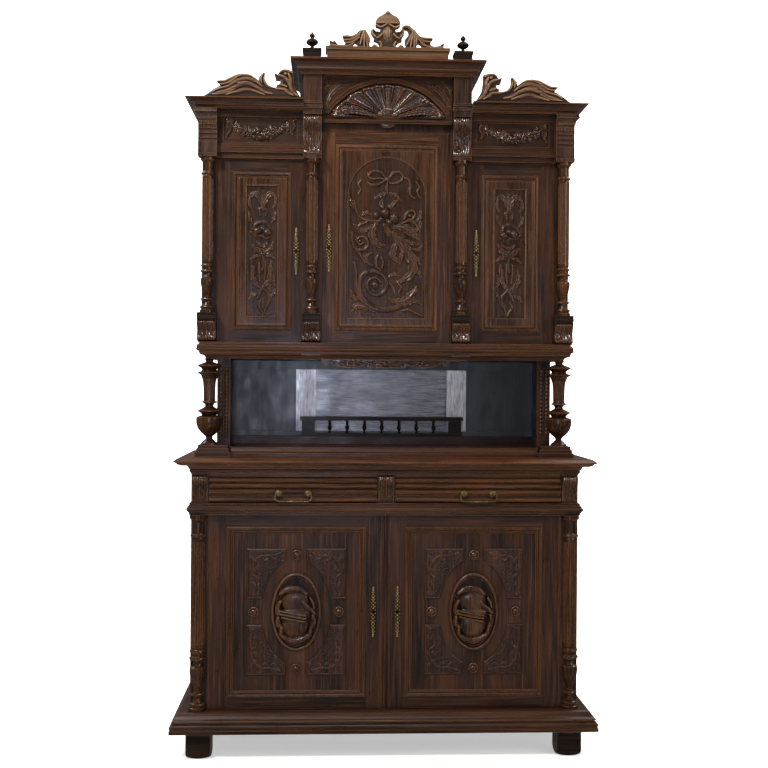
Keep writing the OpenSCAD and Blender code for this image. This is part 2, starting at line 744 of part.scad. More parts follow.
module upper_top() {
  x = post_mid - board / 2 - glue;
  y1 = y_bb - glue;
  color(oak_inside) {
    both() block(
      [post_mid + board / 2 + glue, y_uin, z_side - board],
      [hu - board - glue, y1, z_side - glue]
    );
    block([-x, y_uin, z_centre - board], [x, y1, z_centre - glue]);
  }
}

module upper_face_frame() {
  color(oak) difference() {
    union() {
      both() block([side_open_out, y_upper, z_upper + glue], [hu, y_upper + board, z_side - glue]);
      both() block([centre_w / 2, y_upper, z_upper + glue], [side_open_in, y_upper + board, z_centre - glue]);
      both() block(
        [side_open_in + glue, y_upper, z_arch],
        [side_open_out - glue, y_upper + board, z_side - glue]
      );
      block([-centre_w / 2 + glue, y_upper, z_head], [centre_w / 2 - glue, y_upper + board, z_shell - glue]);
    }
    both() side_pivot(z_arch - 1, z_arch + pin_reach + 1, pin_r + pin_clear);
    centre_pivot(z_head - 1, z_head + pin_reach + 1, pin_r + pin_clear);
  }
}

corbel_h = 110;
module upper_columns() {
  r = upper_col_d / 2;
  h = side_zone - corbel_h - 2 * glue;
  color(oak_carved) both() for (x = [post_mid, block_mid])
    translate([x, y_upper - r, z_upper + corbel_h + glue]) pillar(r, h, r, 9);
}

// A scroll corbel under each upper column: an abacus over an S-shaped leaf
module column_corbels() {
  out = block_out + 8;
  h = corbel_h - glue;
  side = concat(
    [[0, 0], [out * 0.42, 0]],
    curve([[out * 0.5, h * 0.02], [out * 0.74, h * 0.1], [out * 0.66, h * 0.24], [out * 0.62, h * 0.4],
      [out * 0.86, h * 0.62], [out * 0.92, h * 0.7]], 4),
    [[out * 0.84, h * 0.72], [out * 0.84, h * 0.78], [out, h * 0.8], [out, h * 0.88], [out * 0.92, h * 0.9],
      [out * 0.96, h], [0, h]]
  );
  color(oak_carved) both() for (x = [post_mid, block_mid])
    translate([x - block_w / 2, y_upper - glue, z_upper + glue]) difference() {
      rotate([90, 0, 90]) linear_extrude(block_w) polygon([for (q = side) [-q[0], q[1]]]);
      // the furrows between the leaf's ribs
      for (i = [1:4])
        translate([block_w * i / 5, -out * 0.96, h * 0.06]) cylinder(r = out * 0.17, h = h * 0.62, $fn = 24);
    }
}

// Over the inner columns an acanthus console under a plain block, over the outer ones a reeded block
module frieze_consoles() {
  out = block_out;
  w = block_w - 2;
  hc = z_side - z_arch;
  side = concat(
    [[0, 0], [out + 2, 0], [out + 2, hc * 0.06], [out * 0.7, hc * 0.1]],
    curve([[out * 0.55, hc * 0.14], [out * 0.5, hc * 0.34], [out * 0.66, hc * 0.55], [out * 0.96, hc * 0.74],
      [out * 0.98, hc * 0.84], [out * 0.8, hc * 0.9]], 4),
    [[out, hc * 0.92], [out, hc - glue], [0, hc - glue]]
  );
  cap_h = hc * 0.22 - glue;
  cap = concat(
    [[0, 0], [3, 0], [3, 5]],
    arc(4 + cap_h * 0.5, 6, cap_h * 0.5, 180, 110, 4),
    [[14, cap_h - 6], [14, cap_h]]
  );
  color(oak_carved) {
    both() translate([post_mid - w / 2, y_upper - glue, z_arch]) difference() {
      rotate([90, 0, 90]) linear_extrude(w) polygon([for (q = side) [-q[0], q[1]]]);
      for (i = [1:4])
        translate([w * i / 5, -out * 1.02, hc * 0.5]) cylinder(r = 4, h = hc * 0.38, $fn = 24);
      for (i = [1:5])
        translate([w * i / 6, -out * 0.6, hc * 0.13]) cylinder(r = 3, h = hc * 0.34, $fn = 24);
    }
    // plain block with two fillets above each console
    both() translate([post_mid, y_upper - glue, z_side]) {
      block([-w / 2, -out, 0], [w / 2, 0, z_centre - z_side - glue]);
      block([-w / 2 - 4, -out - 5, 8], [w / 2 + 1 - glue, -glue, 18]);
      block([-w / 2 - 2, -out - 3, 26], [w / 2 + 1 - glue, -glue, 34]);
    }
    both() translate([block_mid, y_upper - glue, z_arch]) difference() {
      union() {
        block([-block_w / 2, -out, 0], [block_w / 2, 0, hc - glue]);
        block([-block_w / 2, -out - 6, 0], [block_w / 2, -out, 12]);
        // a row of dentils
        for (i = [0:4])
          translate([-block_w / 2 + 2 + i * (block_w - 4) / 5, -out - 5, hc * 0.66])
            cube([(block_w - 4) / 5 - 4, 5 + glue, 13]);
        // the cap flares out in front and at the outer side, with a mitre
        intersection() {
          translate([-block_w / 2, 0, hc * 0.78]) rotate([90, 0, 90]) linear_extrude(block_w + 30)
            polygon(concat([[0, 0]], [for (q = cap) [-out - q[0], q[1]]], [[0, cap_h]]));
          translate([0, 0, hc * 0.78]) rotate([90, 0, 0]) linear_extrude(out + 30)
            polygon(concat([[-block_w / 2, 0]], [for (q = cap) [block_w / 2 + q[0], q[1]]],
              [[-block_w / 2, cap_h]]));
        }
      }
      for (i = [0:2])
        translate([-block_w, -out - 1.5, architrave_h + 10 + i * 18]) rotate([0, 90, 0])
          cylinder(r = 6, h = 2 * block_w, $fn = 32);
    }
  }
}

// Frieze boards with a sunk field, a hanging garland and the architrave below
module side_friezes() {
  x0 = post_mid + block_w / 2;
  x1 = block_mid - block_w / 2;
  mid = (x0 + x1) / 2;
  half = (x1 - x0) / 2;
  y = y_upper - glue;
  color(oak_carved) both() {
    difference() {
      union() {
        block([x0, y - 14, z_arch + glue], [x1, y, z_side - glue]);
        block([x0, y - 24, z_arch + glue + architrave_h * 0.42], [x1, y - 10, z_arch + architrave_h * 0.7]);
        block([x0, y - 20, z_arch + glue + architrave_h * 0.78], [x1, y - 10, z_arch + architrave_h]);
        block([x0, y - 22, z_side - 24], [x1, y - 10, z_side - glue]);
      }
      block([mid - half * 0.86, y - 60, z_frieze + 8], [mid + half * 0.86, y - 9, z_side - 30]);
    }
    // fruit and leaves on a sagging line, with a drop at each end
    for (i = [-4:4]) {
      r = 12 - abs(i) * 1.1;
      translate([mid + i * half * 0.155, y - 8.5, z_frieze + 26 + 2.6 * i * i]) half_ball(r);
    }
    for (e = [-1, 1])
      standing(y - 8, 9) polygon(stroke([
        [mid + e * half * 0.66, z_side - 36, 5], [mid + e * half * 0.74, z_side - 52, 8],
        [mid + e * half * 0.72, z_side - 72, 5], [mid + e * half * 0.76, z_side - 88, 1]
      ]));
  }
}

// The board over the centre door, with a raised band round its arch
shell_chord = centre_w / 2 - 18;
shell_foot = 12;
shell_rise = shell_zone - shell_foot - 19;
function arch_r() = (shell_chord * shell_chord + shell_rise * shell_rise) / (2 * shell_rise);
module shell_frieze() {
  half = centre_w / 2 - glue;
  r = arch_r();
  cz = z_shell + shell_foot + shell_rise - r;
  open_a = asin(shell_chord / r);
  color(oak_carved) {
    difference() {
      block([-half, y_upper - 16, z_shell], [half, y_upper + board, z_centre - glue]);
      standing(y_upper + 4, 60) polygon(arc(0, cz, r, 90 - open_a, 90 + open_a, 24));
    }
    // two beads that follow the arch
    for (k = [0, 1])
      standing(y_upper - 10, 10 + 3 * k) polygon(concat(
        arc(0, cz, r + 8 + 9 * k, 90 - open_a * 0.97, 90 + open_a * 0.97, 24),
        arc(0, cz, r + 2 + 9 * k, 90 + open_a * 0.97, 90 - open_a * 0.97, 24)
      ));
    // moulding over the door
    block([-half, y_upper - 24, z_shell - 14], [half, y_upper - glue, z_shell - 4]);
    block([-half, y_upper - 20, z_shell - 4], [half, y_upper - glue, z_shell]);
  }
}

// The shell: flutes that fan out from a small hub, each one round and scalloped at its end
module shell() {
  r = arch_r();
  cz = shell_rise - r;
  n_a = shell_flutes * 6;
  n_r = 8;
  hub = 38;
  back = y_upper + 4 - glue;
  // distance from the hub to the arch along the angle t
  function reach(t) = cz * sin(t) + sqrt(pow(cz * sin(t), 2) + r * r - cz * cz);
  function ridge(t) = abs(sin(shell_flutes * t));
  function edge(t) = (reach(t) - 7) * (0.94 + 0.06 * ridge(t));
  function lift(f, t) = 12 + 20 * pow(f, 0.8) + (3 + 11 * f) * (ridge(t) - 0.5);
  front = [for (i = [0:n_a]) for (j = [0:n_r])
    let (t = 180 * i / n_a, f = j / n_r, d = hub + 1 + (edge(t) - hub - 1) * f)
      [d * cos(t), back - max(lift(f, t), 3), z_shell + shell_foot + d * sin(t)]];
  rear = [for (p = front) [p[0], back, p[2]]];
  m = len(front);
  w = n_r + 1;
  color(oak_carved) {
    polyhedron(
      points = concat(front, rear),
      faces = concat(
        [for (i = [0:n_a - 1]) for (j = [0:n_r - 1]) let (a = i * w + j) [a, a + w + 1, a + 1]],
        [for (i = [0:n_a - 1]) for (j = [0:n_r - 1]) let (a = i * w + j) [a, a + w, a + w + 1]],
        [for (i = [0:n_a - 1]) for (j = [0:n_r - 1]) let (a = m + i * w + j) [a, a + 1, a + w + 1]],
        [for (i = [0:n_a - 1]) for (j = [0:n_r - 1]) let (a = m + i * w + j) [a, a + w + 1, a + w]],
        [for (i = [0:n_a - 1]) let (a = i * w) [a, m + a, m + a + w, a + w]],
        [for (i = [0:n_a - 1]) let (a = i * w + n_r) [a, a + w, m + a + w, m + a]],
        [for (j = [0:n_r - 1]) [j, j + 1, m + j + 1, m + j]],
        [for (j = [0:n_r - 1]) let (a = n_a * w + j) [a, m + a, m + a + 1, a + 1]]
      )
    );
    // the hub, and the two bosses on it
    translate([0, back, z_shell + shell_foot]) rotate([90, 0, 0])
      rotate_extrude(angle = 180, $fn = 64) polygon([[0, 0], [hub, 0], [hub, 10], [hub - 8, 16], [0, 18]]);
    for (s = [-1, 1])
      translate([s * 24, back - 15, z_shell + shell_foot + 12]) rotate([90, 0, 0])
        turned([[9, 0], [9, 3], [6, 7], [1, 9]]);
  }
}

module side_cornices() {
  out = side_cornice_out;
  x0 = post_mid + block_w / 2;
  x1 = side_open_in + glue;
  h = side_cornice_h - glue;
  y = y_upper - block_out + 6;
  color(oak) intersection() {
    cornice(hu + 6, y, y_back, z_side + glue, crown_section(out, h), out, out, h);
    // it ends at the plain block in front, and at the inner posts behind
    both() translate([0, 0, z_side - 1]) linear_extrude(side_cornice_h + 2) polygon([
      [x0, y_front - 100], [plinth_w, y_front - 100], [plinth_w, y_back + 1], [x1, y_back + 1],
      [x1, y_upper - glue], [x0, y_upper - glue]
    ]);
  }
}

module centre_cornice() {
  out = centre_cornice_out;
  h = centre_cornice_h - glue;
  color(oak) cornice(post_mid + block_w / 2 + 2, y_upper - block_out - 4, y_back, z_centre + glue,
    crown_section(out, h), out, out, h);
}

// The crest: a cartouche with a domed top and a jewel between two scrolled acanthus leaves
module crest() {
  y = y_upper + 10;
  half = crest_block_w / 2;
  kx = crest_block_w / 460;
  kz = crest_h / 152;
  color(oak_carved) {
    block([-half, y - 22, z_crown + glue], [half, y + carve_t + 22, z_crest - 12]);
    block([-half - 6, y - 28, z_crest - 12], [half + 6, y + carve_t + 28, z_crest]);
    translate([0, 0, z_crest - 1]) standing(y + carve_t, carve_t) {
      // cartouche: a knob, the dome, a notch, a horn on each side and a curled foot
      for (s = [0, 1]) mirror([s, 0]) polygon(flat(concat(
        [[-1, 0], [-1, 151], [4, 144], [9, 140], [11, 135], [18, 134], [18, 129]],
        curve([[30, 125], [41, 117], [47, 105], [47, 90]], 3),
        curve([[40, 85], [28, 79], [31, 67], [44, 65], [56, 76]], 3),
        curve([[64, 74], [63, 60], [52, 44]], 2),
        curve([[54, 33], [40, 28], [29, 11], [35, 3]], 2),
        curve([[43, 16], [54, 18], [62, 7], [61, 0]], 2)
      ), kx, kz));
      // the left leaf droops beside it and sends a lobe and a tail outwards
      polygon(flat(concat(
        curve([[-222, 33], [-211, 25], [-199, 28], [-190, 15], [-165, 13], [-159, 22], [-168, 34]], 2),
        curve([[-172, 49], [-155, 51], [-138, 49], [-119, 58], [-107, 70], [-85, 71]], 2),
        curve([[-71, 49], [-65, 35], [-71, 26], [-68, 10], [-78, 2], [-92, 4], [-100, 14]], 2),
        curve([[-107, 6], [-115, 18], [-125, 24], [-136, 11], [-150, 0]], 2),
        [[-214, 0], [-222, 13]]
      ), kx, kz));
      // the right leaf arches higher
      polygon(flat(concat(
        curve([[50, 73], [53, 85], [64, 91], [80, 92], [107, 71], [118, 53], [130, 47], [150, 49]], 2),
        curve([[173, 44], [164, 32], [164, 20], [176, 14], [198, 17]], 2),
        curve([[215, 30], [214, 12], [207, 0]], 2),
        curve([[150, 0], [136, 11], [121, 25], [113, 24], [108, 10], [96, 4]], 2),
        curve([[76, 6], [68, 20], [65, 37], [76, 51], [79, 64], [75, 76], [66, 79], [58, 72]], 2)
      ), kx, kz));
    }
    translate([0, y - glue, z_crest + 62 * kz]) dome(14, 26, 12);
  }
}

// A smooth oval dome on the plane y = 0, rising towards the front
module dome(rx, rz, h, rings = 6, n = 32) {
  top = rings * n;
  polyhedron(
    points = concat(
      [for (j = [0:rings - 1]) let (a = 90 * j / rings) for (i = [0:n - 1])
        [rx * cos(a) * cos(360 * i / n), -h * sin(a), rz * cos(a) * sin(360 * i / n)]],
      [[0, -h, 0]]
    ),
    faces = concat(
      [for (j = [0:rings - 2]) for (i = [0:n - 1])
        let (a = j * n, b = (i + 1) % n) [a + i, a + b + n, a + b]],
      [for (j = [0:rings - 2]) for (i = [0:n - 1])
        let (a = j * n, b = (i + 1) % n) [a + i, a + i + n, a + b + n]],
      [for (i = [0:n - 1]) [top - n + i, top, top - n + (i + 1) % n]],
      [[for (i = [0:n - 1]) i]]
    )
  );
}

module finials() {
  block_h = 50;
  y = y_upper + 2;
  color(oak_carved) both() translate([post_mid + 4, y, z_crown + glue]) {
    block([-33, -33, 0], [33, 33, block_h - 10]);
    block([-36, -36, block_h - 10], [36, 36, block_h]);
    translate([0, 0, block_h + glue]) turned(concat(
      [[16, 0], [16, 4], [8, 9], [6, 14]],
      curve([[9, 17], [20, 24], [23, 32], [17, 40]], 3),
      [[8, 43], [6, 47]],
      curve([[9, 50], [11, 55], [8, 61]], 2),
      [[3, 66], [1, 70]]
    ));
  }
}

// A beast with an open mouth, a curled tongue and a rounded back that falls to the corner
module dragons() {
  x0 = post_mid + block_w / 2 + 4;
  kx = (hu - 10 - x0) / 392;
  kz = 0.89;
  y = y_upper - block_out - side_cornice_out + 14;
  outline = concat(
    [[4, 0], [392, 0], [354, 29], [322, 48]],
    curve([[340, 67], [307, 68], [273, 88], [253, 95], [232, 97], [212, 95], [195, 88], [173, 69]], 3),
    curve([[171, 84], [161, 98], [149, 106]], 3),
    curve([[150, 86], [144, 66], [130, 49], [113, 41], [98, 44]], 3),
    curve([[102, 52], [90, 56], [86, 70], [91, 75], [105, 76]], 2),
    curve([[112, 103], [97, 95], [90, 110], [76, 117], [56, 117], [36, 112]], 3),
    curve([[35, 100], [34, 70], [29, 44], [16, 20]], 3)
  );
  color(oak_carved) both() translate([x0, 0, z_side_top + glue]) difference() {
    standing(y + carve_t, carve_t) polygon(flat(outline, kx, kz));
    // the waves cut along the body
    for (k = [0:3])
      standing(y + 3, 6) polygon(stroke(fit([
        [150 + 26 * k, 8 + 2 * k, 0.8], [182 + 22 * k, 26 + 6 * k, 2.2], [226 + 14 * k, 30 + 10 * k, 2.2],
        [270 + 8 * k, 18 + 10 * k, 2], [318 + 5 * k, 8 + 8 * k, 0.8]
      ], kx, kz)));
    // eye
    translate([62 * kx, y + 2, 96 * kz]) rotate([90, 0, 0]) cylinder(r = 4, h = 6, $fn = 24);
  }
}

// A strip of moulding along X, its inner edge up, mitred for an inside corner. Section is [in, front]
module strip(len, w, section, lift) {
  intersection() {
    rotate([90, 0, 90]) linear_extrude(len) polygon([for (q = section) [-q[1], q[0]]]);
    translate([0, 0.5, 0]) rotate([90, 0, 0]) linear_extrude(lift + 1)
      polygon([[0, 0], [len, 0], [len - w, w], [w, w]]);
  }
}

// Four strips round an opening from (x0, z0) to (x1, z1), standing on the plane y
module strips(x0, z0, x1, z1, y) {
  w = frame_mould_w;
  lift = 10;
  section = concat(
    [[0.3, 0], [0.3, lift - 2], [w * 0.14, lift]],
    arc(w * 0.34, lift - 4, 4, 120, 0, 4),
    [[w * 0.54, lift * 0.45]],
    arc(w * 0.72, lift * 0.35, w * 0.13, 150, 20, 4),
    [[w * 0.94, 1.5], [w, 1.2], [w, 0]]
  );
  translate([x0, y, z0]) strip(x1 - x0, w, section, lift);
  translate([x0, y, z1]) mirror([0, 0, 1]) strip(x1 - x0, w, section, lift);
  translate([x0, y, z0]) mirror([1, 0, -1]) strip(z1 - z0, w, section, lift);
  translate([x1, y, z0]) mirror([1, 0, 0]) mirror([1, 0, -1]) strip(z1 - z0, w, section, lift);
}

// A framed door: two stiles with mortises, two rails with tenons and the moulding round the panel.
// It is drawn with its hinge edge at x = 0, its face at y = 0 and its foot at z = 0
module door_frame(w, h, sh, sl, rail) {
  tenon = min(sh, sl) - 14;
  tt = door_t / 3;
  ty = door_t - tt - 1;
  // room round each tenon
  c = 0.2;
  color(oak) {
    difference() {
      union() {
        block([0, 0, 0], [sh, door_t, h]);
        block([w - sl, 0, 0], [w, door_t, h]);
      }
      for (z = [8, h - rail + 8])
        block([sh - tenon - c, ty - c, z - c], [w - sl + tenon + c, ty + tt + c, z + rail - 16 + c]);
      panel_groove(w, h, sh, sl, rail);
      for (z = [-1, h - 25])
        translate([pivot_in, pivot_back, z]) cylinder(r = pin_r + pin_clear, h = 26, $fn = 32);
    }
    for (z = [0, h - rail])
      difference() {
        union() {
          block([sh + glue, 0, z], [w - sl - glue, door_t, z + rail]);
          block([sh - tenon, ty, z + 8], [w - sl + tenon, ty + tt, z + rail - 8]);
        }
        panel_groove(w, h, sh, sl, rail);
      }
    strips(sh, rail, w - sl, h - rail, panel_back - glue);
  }
}

// The space that the panel's edge takes up in the frame, with room to move
module panel_groove(w, h, sh, sl, rail) {
  c = 0.3;
  block(
    [sh - tongue - c, panel_back - c, rail - tongue - c],
    [w - sl + tongue + c, panel_back + panel_t + c, h - rail + tongue + c]
  );
}

module panel_board(w, h, sh, sl, rail) {
  block([sh - tongue, panel_back, rail - tongue], [w - sl + tongue, panel_back + panel_t, h - rail + tongue]);
}

// A pierced brass plate with a keyhole, the lock case behind it and the two pivot pins
module door_hardware(w, h, sl, zc, len) {
  x = w - sl / 2;
  n = 24;
  shape = [for (i = [0:n]) let (f = 2 * i / n - 1, a = abs(f))
    [1.2 + 10.5 * (1 - pow(a, 1.6)) * (0.66 + 0.34 * abs(cos(540 * f))), f * len / 2]];
  color(brass) translate([x, 0, zc]) difference() {
    standing(-glue, 1.6) polygon(concat(shape, [for (i = [n:-1:0]) [-shape[i][0], shape[i][1]]]));
    for (z = [-0.3, -0.17, 0.17, 0.3])
      translate([0, 0, z * len]) rotate([0, 45, 0]) cube([4.5, 10, 4.5], center = true);
    translate([0, 1, 4]) rotate([90, 0, 0]) cylinder(r = 3, h = 10, $fn = 24);
    translate([-1.2, -5, -8]) cube([2.4, 10, 12]);
  }
  color(iron) {
    block([x - 17, door_t + glue, zc - 40], [x + 17, door_t + 10, zc + 40]);
    for (z = [-pin_reach, h - 24])
      translate([pivot_in, pivot_back, z]) cylinder(r = pin_r, h = pin_reach + 24, $fn = 32);
  }
}

// Puts a door with its hinge edge at x; side is 1 for a door that runs to the right of it
module hang(x, side, y, z) {
  translate([x, y, z]) mirror([side < 0 ? 1 : 0, 0, 0]) children();
}
module base_hang(side) {
  hang(-side * (opening_x - gap), side, y_body, z_base + gap) children();
}
module side_hang(side) {
  hang(-side * (side_open_out - gap), side, y_upper, z_upper + gap) children();
}
module centre_hang() {
  hang(centre_w / 2 - gap, -1, y_upper, z_upper + gap) children();
}

// Four corner plaques round an oval medallion, with four turned bosses between them
module base_ornament() {
  x = (stile_hinge + base_door_w - stile_lock) / 2;
  z = base_door_h / 2;
  // the field's half width and half height inside the moulding, as shares of the usual ones
  kx = (x - stile_hinge - frame_mould_w) / 231;
  kz = (z - base_rail - frame_mould_w) / 290.5;
  pw = 182 * kx;
  ph = 233 * kz;
  gx = 38 * kx;
  gz = 48 * kz;
  rx = 130 * kx;
  rz = 197 * kz;
  y = panel_back - glue;
  a0 = acos(gx / rx);
  a1 = asin(gz / rz);
  color(oak_carved) translate([x, 0, z]) {
    for (sx = [0, 1]) for (sz = [0, 1])
      mirror([sx, 0, 0]) mirror([0, 0, sz])
        standing(y, 7) polygon(concat(
          [[pw, gz], [pw, ph], [gx, ph]],
          [for (i = [0:12]) let (t = a0 + (a1 - a0) * i / 12) [rx * cos(t), rz * sin(t)]]
        ));
    // the medallion's rim and its domed cartouche
    standing(y, 6) difference() {
      polygon(oval(92 * kx, 144 * kz));
      polygon(oval(80 * kx, 132 * kz));
    }
    standing(y, 2.5) polygon(oval(79.5 * kx, 131.5 * kz));
    translate([0, y - 2.5 - glue, 0]) dome(66 * kx, 112 * kz, 20);
    for (q = [[0, 210 * kz], [0, -210 * kz], [157 * kx, 0], [-157 * kx, 0]])
      translate([q[0], y, q[1]]) rotate([90, 0, 0]) turned(
        [[19, 0], [19, 4], [15, 6], [15, 8], [12, 12], [7, 15], [3, 16.5], [0.5, 17]]
      );
  }
}

module base_door_part(side, part) {
  base_hang(side) {
    if (part == "frame") door_frame(base_door_w, base_door_h, stile_hinge, stile_lock, base_rail);
    if (part == "panel") color(oak) panel_board(base_door_w, base_door_h, stile_hinge, stile_lock, base_rail);
    if (part == "ornament") base_ornament();
    if (part == "hardware") door_hardware(base_door_w, base_door_h, stile_lock, base_door_h / 2, 194);
  }
}
module base_door_left_frame() { base_door_part(1, "frame"); }
module base_door_left_panel() { base_door_part(1, "panel"); }
module base_door_left_ornament() { base_door_part(1, "ornament"); }
module base_door_left_hardware() { base_door_part(1, "hardware"); }
module base_door_right_frame() { base_door_part(-1, "frame"); }
module base_door_right_panel() { base_door_part(-1, "panel"); }
module base_door_right_ornament() { base_door_part(-1, "ornament"); }
module base_door_right_hardware() { base_door_part(-1, "hardware"); }

// A raised border round a sunk field, standing on the panel board
border_t = 5;
module border(x0, z0, x1, z1, bw, arched) {
  r = (x1 - x0) / 2 - bw;
  xc = (x0 + x1) / 2;
  standing(panel_back - glue, border_t) difference() {
    polygon([[x0, z0], [x1, z0], [x1, z1], [x0, z1]]);
    polygon(arched
      ? concat([[x0 + bw, z0 + bw], [x1 - bw, z0 + bw]], arc(xc, z1 - bw - r, r, 0, 180, 24))
      : [[x0 + bw, z0 + bw], [x1 - bw, z0 + bw], [x1 - bw, z1 - bw], [x0 + bw, z1 - bw]]);
  }
}

// Fruit or a bud in half round on the panel
module fruit(x, z, r) {
  translate([x, panel_back - glue, z]) half_ball(r);
}

// Carving of a side door: leaves and two small volutes on a hanging stem, its foot curled
module side_carving(w, h) {
  kx = w / 112;
  kz = h / 488;
  standing(panel_back - glue, 4) {
    polygon(stroke(fit([[0, 214, 2], [0, 150, 3.4], [0, 60, 3], [0, -60, 3], [-3, -118, 4], [-16, -162, 6],
      [-4, -198, 5], [22, -232, 1.5]], kx, kz), 3));
    for (s = [0, 1]) mirror([s, 0])
      for (k = [
        [[0, 196, 3], [20, 218, 6], [38, 210, 7], [44, 184, 4], [36, 172, 1]],
        [[0, 128, 3], [17, 154, 7], [30, 146, 7], [32, 118, 1]],
        [[0, 92, 3], [22, 92, 5], [36, 72, 5], [30, 50, 4], [16, 54, 3], [18, 66, 1]],
        [[0, 22, 4], [26, 36, 8], [42, 14, 8], [30, -14, 3]],
        [[0, -72, 4], [24, -52, 8], [43, -76, 8], [36, -106, 1]],
        [[-2, -112, 2], [14, -128, 5], [18, -150, 1]]
      ]) polygon(stroke(fit(k, kx, kz), 3));
  }
  fruit(0, 160 * kz, 12);
  fruit(0, -20 * kz, 14);
  for (s = [-1, 1]) fruit(s * 26 * kx, -30 * kz, 7);
}

// Carving of the centre door: a ribbon bow, fruit, branches with leaves and a great scroll
module centre_carving(w, h) {
  kx = w / 288;
  kz = h / 605;
  standing(panel_back - glue, 5) {
    // the two loops of the bow, its knot and its ribbon
    for (s = [-1, 1]) translate([s * 38 * kx, 226 * kz]) difference() {
      polygon(oval(25, 21));
      polygon(oval(16, 12));
    }
    translate([0, 222 * kz]) polygon(oval(9, 12));
    for (k = [
      [[0, 200, 3], [1, 180, 4], [0, 160, 5], [0, 140, 2]],
      [[-10, 152, 3], [-30, 160, 6], [-50, 144, 1]],
      [[10, 152, 3], [28, 160, 6], [48, 144, 1]],
      // leaves and a curled branch on the left
      [[-64, 62, 3], [-84, 70, 6], [-110, 82, 7], [-122, 108, 2]],
      [[-52, 44, 3], [-84, 46, 5], [-112, 34, 5], [-128, 8, 6], [-124, -24, 6], [-100, -38, 5], [-80, -20, 4],
        [-86, 2, 3], [-100, 0, 1]],
      [[-92, -52, 2], [-86, -70, 5], [-76, -92, 1]],
      // the acanthus leaf under the fruit
      [[10, 52, 4], [-18, 42, 12], [-44, 12, 14], [-36, -22, 8], [-12, -32, 2]],
      [[6, 24, 3], [-4, 4, 7], [4, -12, 2]],
      // flower stalk and leaf on the right
      [[54, 62, 3], [84, 52, 8], [108, 28, 10], [102, -6, 6], [66, -24, 2]],
      [[62, 86, 2], [84, 104, 6], [112, 112, 2]],
      // the great acanthus that turns down on the right
      [[24, -20, 6], [54, -34, 12], [88, -64, 15], [116, -106, 13], [104, -150, 9], [64, -164, 2]],
      [[44, -66, 3], [58, -92, 7], [52, -124, 4], [36, -132, 1]],
      [[-32, -60, 2], [-16, -84, 5], [-28, -106, 1]],
      // the stem that sweeps under the great scroll
      [[-118, -112, 2], [-122, -180, 6], [-92, -240, 8], [-28, -268, 9], [44, -252, 10], [96, -206, 8],
        [108, -182, 2]],
      [[60, -204, 2], [44, -190, 6], [30, -196, 1]],
      [[-136, -292, 2], [-112, -276, 6], [-84, -284, 5], [-60, -296, 1]],
      [[66, -292, 2], [96, -276, 7], [130, -292, 1]]
    ]) polygon(stroke(fit(k, kx, kz), 3));
    polygon(stroke(fit(spiral(-40, -174, 56, 250, 1.5, 6.5, 12), kx, kz), 3));
  }
  for (q = [[-11, 99, 16], [34, 87, 14], [-48, 91, 9], [14, 124, 9], [8, 68, 10], [88, 84, 8],
    [-40, -174, 6]])
    fruit(q[0] * kx, q[1] * kz, q[2] * min(kx, kz));
}

side_border = 30;
module side_panel() {
  w = side_door_w;
  x0 = side_stile_hinge + frame_mould_w;
  x1 = w - side_stile_lock - frame_mould_w;
  z0 = upper_rail + frame_mould_w;
  z1 = side_door_h - z0;
  color(oak_carved) {
    panel_board(w, side_door_h, side_stile_hinge, side_stile_lock, upper_rail);
    border(x0 + glue, z0 + glue, x1 - glue, z1 - glue, side_border, false);
    translate([(x0 + x1) / 2, 0, side_door_h / 2])
      side_carving(x1 - x0 - 2 * side_border, z1 - z0 - 2 * side_border);
  }
}

centre_border = 26;
module centre_panel() {
  w = centre_door_w;
  x0 = centre_stile + frame_mould_w;
  z0 = upper_rail + frame_mould_w;
  z1 = centre_door_h - z0;
  color(oak_carved) {
    panel_board(w, centre_door_h, centre_stile, centre_stile, upper_rail);
    border(x0 + glue, z0 + glue, w - x0 - glue, z1 - glue, centre_border, true);
    // this door is drawn from its right edge, so the carving is turned back
    translate([w / 2, 0, centre_door_h / 2]) mirror([1, 0, 0])
      centre_carving(w - 2 * x0 - 2 * centre_border, z1 - z0 - 2 * centre_border);
  }
}

module side_door_part(side, part) {
  side_hang(side) {
    if (part == "frame") door_frame(side_door_w, side_door_h, side_stile_hinge, side_stile_lock, upper_rail);
    if (part == "panel") side_panel();
    if (part == "hardware") door_hardware(side_door_w, side_door_h, side_stile_lock, side_door_h / 2, 182);
  }
}
module upper_door_left_frame() { side_door_part(1, "frame"); }
module upper_door_left_panel() { side_door_part(1, "panel"); }
module upper_door_left_hardware() { side_door_part(1, "hardware"); }
module upper_door_right_frame() { side_door_part(-1, "frame"); }
module upper_door_right_panel() { side_door_part(-1, "panel"); }
module upper_door_right_hardware() { side_door_part(-1, "hardware"); }
module upper_door_centre_frame() {
  centre_hang() door_frame(centre_door_w, centre_door_h, centre_stile, centre_stile, upper_rail);
}
module upper_door_centre_panel() { centre_hang() centre_panel(); }
module upper_door_centre_hardware() {
  centre_hang() door_hardware(centre_door_w, centre_door_h, centre_stile, centre_door_h / 2 - 40, 186);
}

// A drawer is drawn in its own place on the right and mirrored for the left
module drawer_side_of(side) {
  mirror([side < 0 ? 1 : 0, 0, 0]) translate([divider_w / 2 + gap, y_body, z_drawer + gap]) children();
}

// The box: two sides, a back and a bottom in grooves
module drawer_box() {
  s = drawer_side;
  c = 4;
  w = drawer_w;
  y0 = board + glue;
  y1 = board + drawer_len;
  color(oak_inside) {
    block([c, y0, 0], [c + s, y1, drawer_side_h]);
    block([w - c - s, y0, 0], [w - c, y1, drawer_side_h]);
    block([c + s + glue, y1 - s, 14], [w - c - s - glue, y1, drawer_side_h - 8]);
    block([c + s + glue, y0, 6], [w - c - s - glue, y1 - glue, 13]);
  }
}

